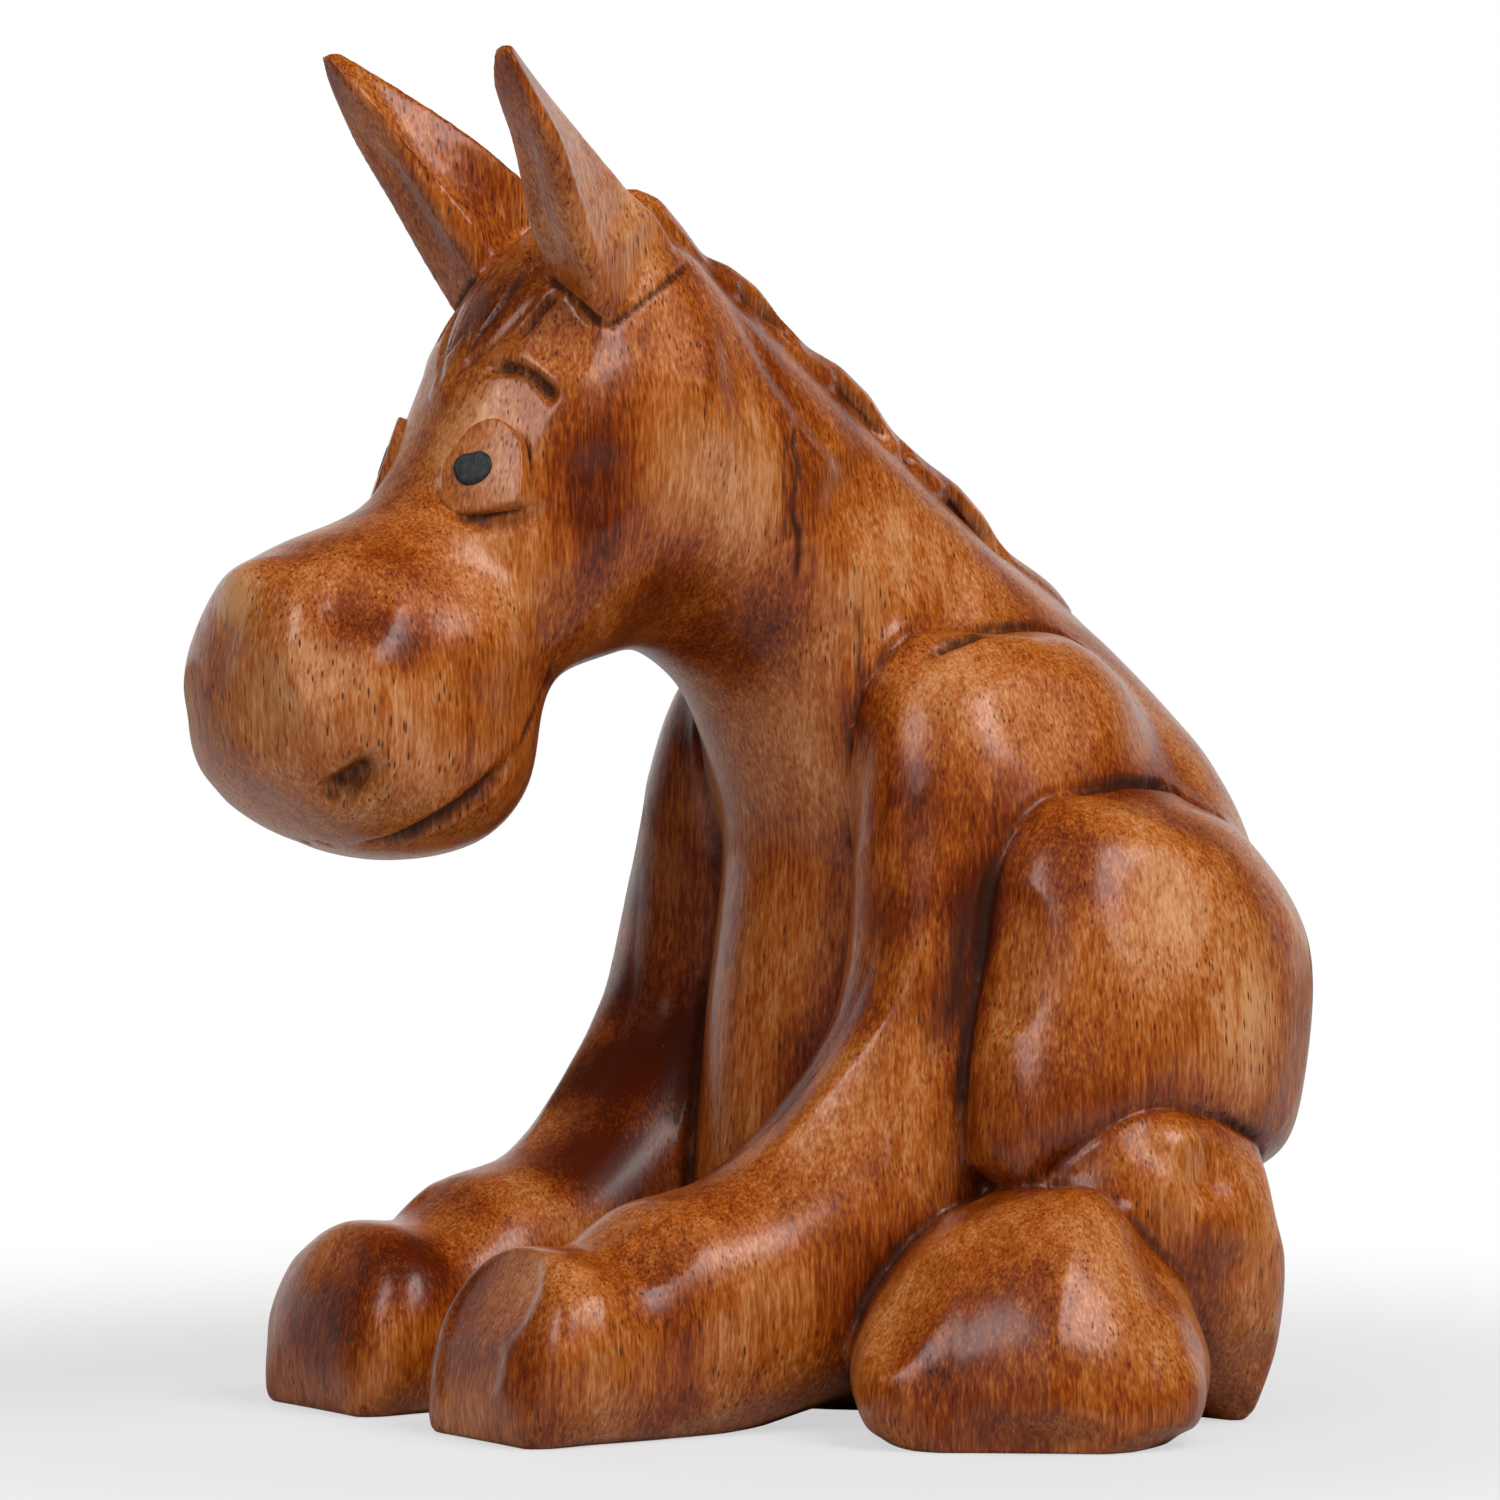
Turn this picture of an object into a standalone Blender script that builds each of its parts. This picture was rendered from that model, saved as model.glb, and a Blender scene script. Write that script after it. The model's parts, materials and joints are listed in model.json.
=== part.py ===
"""A carved wooden horse that sits on its haunches, as carved blocks that are doweled and glued.

The horse faces -Y, its left side is +X, and it stands on the plane z = 0.
Sizes are in millimetres here and become metres when a mesh is made.
"""

import math
from collections import namedtuple

import bmesh
import bpy
from mathutils import Matrix, Quaternion, Vector
from mathutils.bvhtree import BVHTree

MM = 0.001
LEFT, RIGHT = 1, -1
SIDE_NAMES = {LEFT: "left", RIGHT: "right"}

# A length past every side of the horse, for cutters and for lines that come from outside
WELL_OUTSIDE = 100.0

# Joints between the blocks
GLUE_GAP = 0.3
DOWEL_CLEARANCE = 0.25
DOWEL_CHAMFER = 0.5
DOWEL_SIDES = 12
NECK_DOWEL_DIAMETER = 8.0
NECK_DOWEL_LENGTH = 34.0
LIMB_DOWEL_DIAMETER = 5.0
LIMB_DOWEL_IN_TRUNK = 9.0
EAR_DOWEL_DIAMETER = 2.6
EAR_DOWEL_LENGTH = 13.0

# A section is a closed ring that holds the X direction: where it crosses the middle plane
# at the front and at the back (y, z), its half width, its middle x, and its shape.
# square 2 is an ellipse and more is boxier; taper above 0 narrows the front.
Section = namedtuple("Section", "front back half_width x square taper", defaults=(0.0, 2.0, 0.0))

# A dowel across the body: where it meets the trunk's side (y, z), and how far it goes into the limb
SideDowel = namedtuple("SideDowel", "at into_limb")

# Where the neck meets the trunk, shared by both blocks
NECK_JOINT = Section(front=(1.5, 71), back=(47, 82), half_width=18.5, square=2.2)

TRUNK = (
    Section(front=(0, 0), back=(55.5, 0), half_width=28.5, square=2.3, taper=0.36),
    Section(front=(-0.5, 14), back=(57.5, 14), half_width=29.5, square=2.2, taper=0.4),
    Section(front=(0.8, 28), back=(59, 28), half_width=30, square=2.2, taper=0.42),
    Section(front=(2.2, 42), back=(60, 43), half_width=30, square=2.2, taper=0.42),
    Section(front=(4, 54), back=(60.2, 57.5), half_width=29, square=2.2, taper=0.4),
    Section(front=(4.5, 63), back=(56, 70.3), half_width=25, square=2.2, taper=0.25),
    NECK_JOINT,
)
TRUNK_SIDES = 26
TRUNK_STEPS = 2

# Neck and head, from the trunk round the throat to the nose; POLL is the crest's top end
POLL = Section(front=(-16, 80), back=(-13.5, 128), half_width=16.5, square=2.3)
HEAD = (
    NECK_JOINT,
    Section(front=(-1.5, 76), back=(34.5, 91), half_width=16.5),
    Section(front=(-7, 80), back=(16.5, 106), half_width=15),
    Section(front=(-11, 81), back=(0, 119.2), half_width=15.5),
    POLL,
    Section(front=(-22, 78.5), back=(-27, 119.5), half_width=16.5, square=2.5, taper=-0.05),
    Section(front=(-25.2, 76), back=(-34, 107), half_width=14.5, square=2.5, taper=-0.05),
    Section(front=(-26, 71.5), back=(-40, 97.3), half_width=13.8, square=2.4),
    Section(front=(-27.5, 65.7), back=(-49.3, 93.6), half_width=16.2, square=2.5),
    Section(front=(-33, 60.8), back=(-57, 89.2), half_width=17.8, square=2.5),
    Section(front=(-42, 59.5), back=(-59.8, 81), half_width=16.5, square=2.3),
    Section(front=(-49.5, 61.5), back=(-60, 73), half_width=12.5),
    Section(front=(-54.5, 65.3), back=(-58.5, 69.3), half_width=5),
)
HEAD_SIDES = 26
HEAD_STEPS = 2

# Left foreleg, from the shoulder down to the toe
FORELEG = (
    Section(front=(15, 83), back=(36, 82), half_width=7, x=15),
    Section(front=(9, 77), back=(41, 76), half_width=11, x=18),
    Section(front=(6.3, 66), back=(42, 64), half_width=12.3, x=20.5),
    Section(front=(5.3, 54), back=(38, 47), half_width=12.5, x=21.5),
    Section(front=(3.5, 43), back=(31, 31), half_width=12.5, x=21.5),
    Section(front=(-3, 33), back=(18, 8), half_width=13, x=20.5, square=2.3),
    Section(front=(-11.5, 25.9), back=(-3, 1), half_width=12.5, x=19, square=2.4),
    Section(front=(-20.5, 24), back=(-16, -2), half_width=12.5, x=18, square=2.4),
    Section(front=(-27, 19.5), back=(-24, -3), half_width=12.2, x=17.5, square=2.4),
    Section(front=(-34, 20), back=(-30, -3), half_width=13.2, x=17, square=2.4),
    Section(front=(-38.7, 14), back=(-36.5, -3), half_width=12.5, x=17, square=2.3),
    Section(front=(-40.6, 6), back=(-39.4, -3), half_width=9.5, x=17),
)
FORELEG_SIDES = 16
FORELEG_STEPS = 2
FORELEG_DOWEL = SideDowel(at=(15, 66), into_limb=8)

# Left haunch, from the hip down to the knee
HAUNCH = (
    Section(front=(31, 66.5), back=(48, 62), half_width=6, x=28),
    Section(front=(20, 65.5), back=(55, 48.5), half_width=13.5, x=30),
    Section(front=(14.5, 57.5), back=(51.5, 29.5), half_width=16, x=31.5),
    Section(front=(12.5, 47.5), back=(45, 25), half_width=15.5, x=32.5),
    Section(front=(10, 36.5), back=(25, 27.5), half_width=11, x=35),
    Section(front=(9.5, 28), back=(14, 24.5), half_width=5, x=37),
)
HAUNCH_SIDES = 18
HAUNCH_STEPS = 3
HAUNCH_DOWEL = SideDowel(at=(34, 48), into_limb=10)

# Left shank, folded under the haunch, from the knee back to the heel
SHANK = (
    Section(front=(13, 28), back=(15, 17), half_width=6, x=37),
    Section(front=(18, 35), back=(21, 10), half_width=10.5, x=39.5),
    Section(front=(27, 37), back=(29, 5), half_width=12, x=41),
    Section(front=(40, 31), back=(35, 0), half_width=11.5, x=40),
    Section(front=(42.2, 18), back=(37.2, -3), half_width=9.5, x=39),
    Section(front=(41.9, 12.5), back=(39.8, 3.5), half_width=4.5, x=38.5),
)
SHANK_SIDES = 14
SHANK_STEPS = 2
SHANK_DOWEL = SideDowel(at=(35.5, 14), into_limb=9)

# Left hind hoof, drawn pointing to -Y, then turned outwards and moved to its place
HOOF = (
    Section(front=(26, 17), back=(26, -3), half_width=9, taper=0.2),
    Section(front=(14, 22.5), back=(14, -3), half_width=13.5, taper=0.24),
    Section(front=(4, 25.7), back=(4, -3), half_width=17.5, square=2.2, taper=0.28),
    Section(front=(-6, 24), back=(-6, -3), half_width=18, square=2.2, taper=0.28),
    Section(front=(-12.5, 18.5), back=(-12, -3), half_width=16.5, square=2.2, taper=0.2),
    Section(front=(-17, 11), back=(-16, -3), half_width=13, square=2.2, taper=0.1),
    Section(front=(-18.5, 4), back=(-18, -3), half_width=9),
)
HOOF_TURN = 53.0
HOOF_OUT = 42.7
HOOF_BACK = 12.1
HOOF_SIDES = 18
HOOF_STEPS = 2
HOOF_DOWEL = SideDowel(at=(22, 8), into_limb=11)

# Left ear: three-cornered rings (x, y, rise) from the root inside the head up to the tip,
# whose rises are stretched so that the tip stands at the ear's height over its root
EarRing = namedtuple("EarRing", "inner outer back")
EAR_ROOT_LEVEL = 104.0
EAR_HEIGHT = 40.5
EAR = (
    EarRing(inner=(5, -19, 4), outer=(10, -17, 0), back=(5, -7, 8)),
    EarRing(inner=(5.8, -25.5, 17.5), outer=(15.2, -23, 11), back=(8.5, -7.8, 20.5)),
    EarRing(inner=(7.5, -29.7, 25), outer=(19, -29.8, 24.5), back=(8.5, -14.5, 25.8)),
    EarRing(inner=(9.5, -33.1, 30.8), outer=(20.9, -32.9, 30.8), back=(9.7, -21.2, 31)),
    EarRing(inner=(13.4, -36.3, 36.5), outer=(20.5, -35.6, 36.2), back=(13.5, -29.5, 36.6)),
    EarRing(inner=(16.8, -37.7, 40.2), outer=(19.2, -37.2, 40), back=(17.2, -35.4, 40.5)),
)
EAR_SOFT_CORNER = 0.14
EAR_HOLLOW = 0.1
EAR_STEPS = 2

# Mane: a strip of locks along the crest of the neck, with a gouge in each side of every lock
MANE_LOCKS = 5
MANE_STEPS = 5
MANE_SIDES = 8
MANE_HALF_WIDTH = 6.0
MANE_ROOT = 6.0
MANE_PROUD = 3.4
MANE_DIP = 0.45
MANE_SLIM_ENDS = 0.3
MANE_GOUGE_LENGTH = 9.0
MANE_GOUGE_WIDTH = 2.6
MANE_GOUGE_DEPTH = 0.8
MANE_GOUGE_OUT = 0.8
MANE_GOUGE_UP = 0.75
MANE_GOUGE_LEAN = (0.8, 0.6)

# Forelock: a flat strap from the poll down the forehead
FORELOCK_HALF_WIDTH = 5.2
FORELOCK_ROOT = 4.0
FORELOCK_PROUD = 1.3
FORELOCK_NARROWING = 0.4
FORELOCK_SIDES = 10
FORELOCK_STEPS = 4

# Tail: hangs down the rump and ends in a tuft
TAIL = (
    Section(front=(55, 46), back=(60.6, 47), half_width=2.4),
    Section(front=(55, 38), back=(61.3, 38.5), half_width=3.4),
    Section(front=(54, 28), back=(60.9, 28), half_width=3.4),
    Section(front=(53, 20), back=(60.8, 20), half_width=4.2),
    Section(front=(51, 12), back=(60.8, 11), half_width=6.2),
    Section(front=(50, 4), back=(59.6, 3), half_width=5.2),
    Section(front=(49, -2), back=(56.8, -3), half_width=2.6),
)
TAIL_SIDES = 14
TAIL_STEPS = 2

# Face: the eyes, nostrils and mouth are placed on the head's own surface
EYE_MIDDLE = (0, -24, 101)
EYE_ANGLE = 45.0
EYE_WIDTH = 8.2
EYE_TALL = 10.2
EYE_THICKNESS = 5.0
EYE_PROUD = 0.9
EYE_ROUNDING = 0.6
EYE_SIDES = 16
PUPIL_DIAMETER = 4.2
PUPIL_LENGTH = 7.0
PUPIL_PROUD = 0.4
PUPIL_ROUNDING = 0.4
MUZZLE_MIDDLE = (0, -44, 75)
NOSTRIL_TOWARDS = (0.79, -0.51, -0.33)
NOSTRIL_RUN = (0.45, 0.7, 0.55)
NOSTRIL_LENGTH = 8.0
NOSTRIL_WIDTH = 3.2
NOSTRIL_DEPTH = 1.5
MOUTH_BACK = (-33.5, 71.0)
MOUTH_FRONT = (-56.0, 56.5)
MOUTH_WIDTH = 0.9
MOUTH_DEPTH = 1.2

WOOD = (0.36, 0.12, 0.03)
DOWEL_WOOD = (0.55, 0.38, 0.20)
PUPIL_BLACK = (0.012, 0.013, 0.016)


def clear_scene():
    for obj in list(bpy.data.objects):
        bpy.data.objects.remove(obj)


def material(name, colour, roughness):
    made = bpy.data.materials.new(name)
    made.use_nodes = True
    shader = made.node_tree.nodes["Principled BSDF"]
    shader.inputs["Base Color"].default_value = (*colour, 1)
    shader.inputs["Roughness"].default_value = roughness
    shader.inputs["Metallic"].default_value = 0
    return made


def make_object(bm, name, finish, at=(0, 0, 0), turn=None):
    """A new object from a bmesh in millimetres, placed and turned."""
    bmesh.ops.scale(bm, vec=(MM, MM, MM), verts=bm.verts)
    bmesh.ops.recalc_face_normals(bm, faces=bm.faces)
    bmesh.ops.triangulate(bm, faces=bm.faces)
    mesh = bpy.data.meshes.new(name)
    bm.to_mesh(mesh)
    bm.free()
    mesh.shade_smooth()
    mesh.materials.append(finish)
    obj = bpy.data.objects.new(name, mesh)
    obj.location = Vector(at) * MM
    obj.rotation_euler = (turn or Quaternion()).to_euler()
    bpy.context.scene.collection.objects.link(obj)
    return obj


def helper(obj):
    """Marks a cutter, which is no piece of the horse."""
    obj.hide_render = True
    obj.display_type = "WIRE"
    return obj


def between(before, start, end, after, t):
    """Catmull-Rom value at share t of the way from start to end."""
    return 0.5 * (
        2 * start
        + (end - before) * t
        + (2 * before - 5 * start + 4 * end - after) * t * t
        + (3 * start - before - 3 * end + after) * t**3
    )


def smooth_rows(rows, steps):
    """Rows of numbers, with a smooth run of others between each two."""
    rows = [rows[0], *rows, rows[-1]]
    smooth = []
    for four in zip(rows, rows[1:], rows[2:], rows[3:]):
        for step in range(steps):
            smooth.append([between(*values, step / steps) for values in zip(*four)])
    return [*smooth, rows[-1]]


def smooth_sections(sections, steps):
    rows = [(*section.front, *section.back, *section[2:]) for section in sections]
    return [Section(row[0:2], row[2:4], *row[4:]) for row in smooth_rows(rows, steps)]


def oval_ring(section, sides, side):
    """The points of one section."""
    front, back = Vector((0, *section.front)), Vector((0, *section.back))
    middle, reach = (front + back) / 2, (back - front) / 2
    power = 2 / section.square
    ring = []
    for k in range(sides):
        turn = 2 * math.pi * (k + 0.5) / sides
        across, along = math.cos(turn), math.sin(turn)
        across = math.copysign(abs(across) ** power, across)
        along = math.copysign(abs(along) ** power, along)
        point = middle + reach * along
        point.x = side * (section.x + across * section.half_width * (1 + section.taper * along))
        ring.append(point)
    return ring


def ear_ring(corners):
    """Three soft corners, with a hollow in the face that looks to the other ear."""
    corners = [Vector(corner) for corner in corners]
    ring = []
    for k, corner in enumerate(corners):
        for other in (corners[k - 1], corners[(k + 1) % 3]):
            ring.append(corner.lerp(other, EAR_SOFT_CORNER))
    inner, outer, back = corners
    return [*ring, inner.lerp(back, 0.5).lerp(outer, EAR_HOLLOW)]


def skin(rings):
    """A closed skin over rings of points, as a bmesh in millimetres."""
    bm = bmesh.new()
    loops = []
    for ring in rings:
        ring = [bm.verts.new(point) for point in ring]
        loops.append([bm.edges.new((a, b)) for a, b in zip(ring, ring[1:] + ring[:1])])
    for first, second in zip(loops, loops[1:]):
        bmesh.ops.bridge_loops(bm, edges=first + second)
    for end in (loops[0], loops[-1]):
        bmesh.ops.contextual_create(bm, geom=end)
    return bm


def loft(sections, sides, side=LEFT):
    return skin([oval_ring(section, sides, side) for section in sections])


def carve(name, finish, sections, sides, steps, side=LEFT, **placing):
    """One carved block, before its joints are cut."""
    if name.endswith("_"):
        name = name + SIDE_NAMES[side]
    return make_object(loft(smooth_sections(sections, steps), sides, side), name, finish, **placing)


def grown(obj, gap):
    """A hidden copy of a block's uncut form, larger all round by the gap, to cut its neighbours with."""
    bm = bmesh.new()
    bm.from_mesh(obj.data)
    bm.normal_update()
    moves = [vert.normal * gap * MM * vert.calc_shell_factor() for vert in bm.verts]
    for vert, move in zip(bm.verts, moves):
        vert.co += move
    mesh = bpy.data.meshes.new(obj.name + "_room")
    bm.to_mesh(mesh)
    bm.free()
    room = bpy.data.objects.new(mesh.name, mesh)
    room.location = obj.location
    room.rotation_euler = obj.rotation_euler
    bpy.context.scene.collection.objects.link(room)
    return helper(room)


def cut(obj, *cutters):
    for cutter in cutters:
        modifier = obj.modifiers.new(cutter.name, "BOOLEAN")
        modifier.operation = "DIFFERENCE"
        modifier.solver = "EXACT"
        modifier.object = cutter


def rod(name, start, end, diameter, finish, chamfer=0.0):
    """A round rod between two points, with chamfered ends."""
    bm = bmesh.new()
    radius = diameter / 2
    bmesh.ops.create_cone(
        bm,
        cap_ends=True,
        segments=DOWEL_SIDES,
        radius1=radius,
        radius2=radius,
        depth=(end - start).length,
    )
    if chamfer:
        rims = [edge for edge in bm.edges if edge.verts[0].co.z * edge.verts[1].co.z > 0]
        bmesh.ops.bevel(
            bm, geom=rims, offset=chamfer, segments=1, profile=0.5, affect="EDGES", material=-1
        )
    turn = (end - start).to_track_quat("Z", "Y")
    return make_object(bm, name, finish, at=(start + end) / 2, turn=turn)


def dowel(name, start, end, diameter, finish, *blocks):
    """A dowel, and its socket drilled into each of the blocks that it joins."""
    past = (end - start).normalized() * DOWEL_CLEARANCE
    wide = diameter + 2 * DOWEL_CLEARANCE
    drill = helper(rod(name + "_drill", start - past, end + past, wide, finish))
    for block in blocks:
        cut(block, drill)
    return rod(name, start, end, diameter, finish, DOWEL_CHAMFER)


def surface_point(obj, outside, towards):
    """Where a line from outside first meets a block's uncut form, and the way it faces there."""
    bm = bmesh.new()
    bm.from_mesh(obj.data)
    hit, facing, _, _ = BVHTree.FromBMesh(bm).ray_cast(outside * MM, towards)
    bm.free()
    return hit / MM, facing


def side_dowel(name, side, trunk, limb, drawn, finish):
    """A dowel across the body, from the trunk's side into a limb."""
    across = Vector((side, 0, 0))
    seat, _ = surface_point(trunk, across * WELL_OUTSIDE + Vector((0, *drawn.at)), -across)
    start = seat - across * LIMB_DOWEL_IN_TRUNK
    end = seat + across * drawn.into_limb
    name = name + SIDE_NAMES[side]
    return dowel(name, start, end, LIMB_DOWEL_DIAMETER, finish, trunk, limb)


def add_gouge(bm, middle, along, outwards, length, width, depth):
    """Adds a leaf-shaped gouge, half of it above the surface that it is set in."""
    across = outwards.cross(along).normalized()
    along = across.cross(outwards)
    place = Matrix((along * length / 2, across * width / 2, outwards * depth)).transposed()
    place = Matrix.Translation(middle) @ place.to_4x4()
    bmesh.ops.create_uvsphere(bm, u_segments=8, v_segments=4, radius=1, matrix=place)


def floor_block(finish):
    """Everything under the plane that the base is sawn to."""
    bm = bmesh.new()
    bmesh.ops.create_cube(bm, size=1)
    bmesh.ops.scale(bm, vec=(4 * WELL_OUTSIDE, 4 * WELL_OUTSIDE, WELL_OUTSIDE), verts=bm.verts)
    return helper(make_object(bm, "floor_block", finish, at=(0, 0, -WELL_OUTSIDE / 2)))


def carve_mane(wood):
    """The strip of locks, which follows the crest line of the head's own sections."""
    crest = smooth_sections(HEAD, MANE_STEPS)[1 : HEAD.index(POLL) * MANE_STEPS + 1]
    last = len(crest) - 1
    strip = []
    for k, section in enumerate(crest):
        front, back = Vector(section.front), Vector(section.back)
        inwards = (front - back).normalized()
        swell = abs(math.sin(math.pi * MANE_LOCKS * k / last))
        slim = 1 - MANE_SLIM_ENDS * (1 - math.sin(math.pi * k / last))
        top = back - inwards * MANE_PROUD * (MANE_DIP + (1 - MANE_DIP) * swell)
        strip.append(Section(back + inwards * MANE_ROOT, top, MANE_HALF_WIDTH * slim, 0, 2.4))
    mane = make_object(loft(strip, MANE_SIDES), "mane", wood)

    gouges = bmesh.new()
    for lock in range(MANE_LOCKS):
        k = round(last * (lock + 0.5) / MANE_LOCKS)
        edge = Vector(crest[k].back).lerp(Vector(strip[k].back), MANE_GOUGE_UP)
        run = Vector(crest[k + 1].back) - Vector(crest[k - 1].back)
        outwards = (Vector(strip[k].back) - Vector(strip[k].front)).normalized()
        sideways, upwards = MANE_GOUGE_LEAN
        for side in (LEFT, RIGHT):
            add_gouge(
                gouges,
                Vector((side * strip[k].half_width * MANE_GOUGE_OUT, *edge)),
                Vector((0, *run)).normalized(),
                Vector((side * sideways, *(outwards * upwards))),
                MANE_GOUGE_LENGTH,
                MANE_GOUGE_WIDTH,
                MANE_GOUGE_DEPTH,
            )
    cut(mane, helper(make_object(gouges, "mane_gouges", wood)))
    return mane


def carve_forelock(wood):
    """The strap on the forehead, which follows the head's own sections down from the poll."""
    start = HEAD.index(POLL) * FORELOCK_STEPS
    brow = smooth_sections(HEAD, FORELOCK_STEPS)[start : start + 2 * FORELOCK_STEPS + 1]
    strap = []
    for k, section in enumerate(brow):
        front, back = Vector(section.front), Vector(section.back)
        inwards = (front - back).normalized()
        narrow = 1 - FORELOCK_NARROWING * k / (len(brow) - 1)
        top = back - inwards * FORELOCK_PROUD
        root = back + inwards * FORELOCK_ROOT
        strap.append(Section(root, top, FORELOCK_HALF_WIDTH * narrow, 0, 3))
    return make_object(loft(strap, FORELOCK_SIDES), "forelock", wood)


def ear_corners(side):
    """The corners of the ear's rings, stretched to its height and stood on its root."""
    stretch = EAR_HEIGHT / EAR[-1].back[2]
    return [[(side * x, y, EAR_ROOT_LEVEL + z * stretch) for x, y, z in ring] for ring in EAR]


def carve_ear(side, wood):
    rows = [[number for corner in ring for number in corner] for ring in ear_corners(side)]
    rings = [ear_ring((row[0:3], row[3:6], row[6:9])) for row in smooth_rows(rows, EAR_STEPS)]
    return make_object(skin(rings), "ear_" + SIDE_NAMES[side], wood)


def ear_axis(side):
    """The middle of the ear's root, and the way the ear grows from it."""
    rings = ear_corners(side)
    root, blade = (sum(map(Vector, ring), Vector()) / 3 for ring in (rings[0], rings[2]))
    return root, (blade - root).normalized()


def carve_eye(side, head, head_room, wood, black):
    """An oval disc on the face, held by a black peg whose domed end is the pupil."""
    name = SIDE_NAMES[side]
    angle = math.radians(EYE_ANGLE)
    outwards = Vector((side * math.sin(angle), -math.cos(angle), 0))
    seat, facing = surface_point(head, Vector(EYE_MIDDLE) + outwards * WELL_OUTSIDE, -outwards)
    turn = facing.to_track_quat("Z", "Y")

    def peg(part, proud, length, width, tall, rounding):
        """An oval peg whose outer end stands proud of the face."""
        bm = bmesh.new()
        bmesh.ops.create_cone(
            bm, cap_ends=True, segments=EYE_SIDES, radius1=0.5, radius2=0.5, depth=length
        )
        bmesh.ops.scale(bm, vec=(width, tall, 1), verts=bm.verts)
        bmesh.ops.translate(bm, vec=(0, 0, proud - length / 2), verts=bm.verts)
        rim = [edge for edge in bm.edges if all(vert.co.z > proud - 0.1 for vert in edge.verts)]
        if rounding:
            bmesh.ops.bevel(
                bm, geom=rim, offset=rounding, segments=2, profile=0.5, affect="EDGES", material=-1
            )
        finish = wood if part == "eye_" else black
        return make_object(bm, part + name, finish, at=seat, turn=turn)

    eye = peg("eye_", EYE_PROUD, EYE_THICKNESS, EYE_WIDTH, EYE_TALL, EYE_ROUNDING)
    tip = EYE_PROUD + PUPIL_PROUD
    peg("pupil_", tip, PUPIL_LENGTH, PUPIL_DIAMETER, PUPIL_DIAMETER, PUPIL_ROUNDING)
    hole = PUPIL_DIAMETER + 2 * DOWEL_CLEARANCE
    drill = helper(peg("pupil_drill_", tip + 1, PUPIL_LENGTH + 1 + DOWEL_CLEARANCE, hole, hole, 0))
    cut(eye, head_room, drill)
    cut(head, drill)
    return eye


def carve_mouth_and_nostrils(head, wood):
    """Gouges the nostrils, and saws the mouth's line a little way into the muzzle."""
    gouges = bmesh.new()
    for side in (LEFT, RIGHT):
        outwards = Vector(NOSTRIL_TOWARDS).normalized()
        outwards.x *= side
        seat, _ = surface_point(head, Vector(MUZZLE_MIDDLE) + outwards * WELL_OUTSIDE, -outwards)
        along = Vector(NOSTRIL_RUN)
        along.x *= side
        add_gouge(gouges, seat, along, outwards, NOSTRIL_LENGTH, NOSTRIL_WIDTH, NOSTRIL_DEPTH)
    cut(head, helper(make_object(gouges, "nostril_gouges", wood)))

    back, front = Vector((0, *MOUTH_BACK)), Vector((0, *MOUTH_FRONT))
    bm = bmesh.new()
    bmesh.ops.create_cube(bm, size=1)
    bmesh.ops.scale(bm, vec=(WELL_OUTSIDE, MOUTH_WIDTH, (front - back).length), verts=bm.verts)
    turn = (front - back).to_track_quat("Z", "Y")
    saw = helper(make_object(bm, "mouth_saw", wood, at=(back + front) / 2, turn=turn))
    core = grown(head, -MOUTH_DEPTH)
    core.name = "mouth_core"
    cut(saw, core)
    cut(head, saw)


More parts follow.
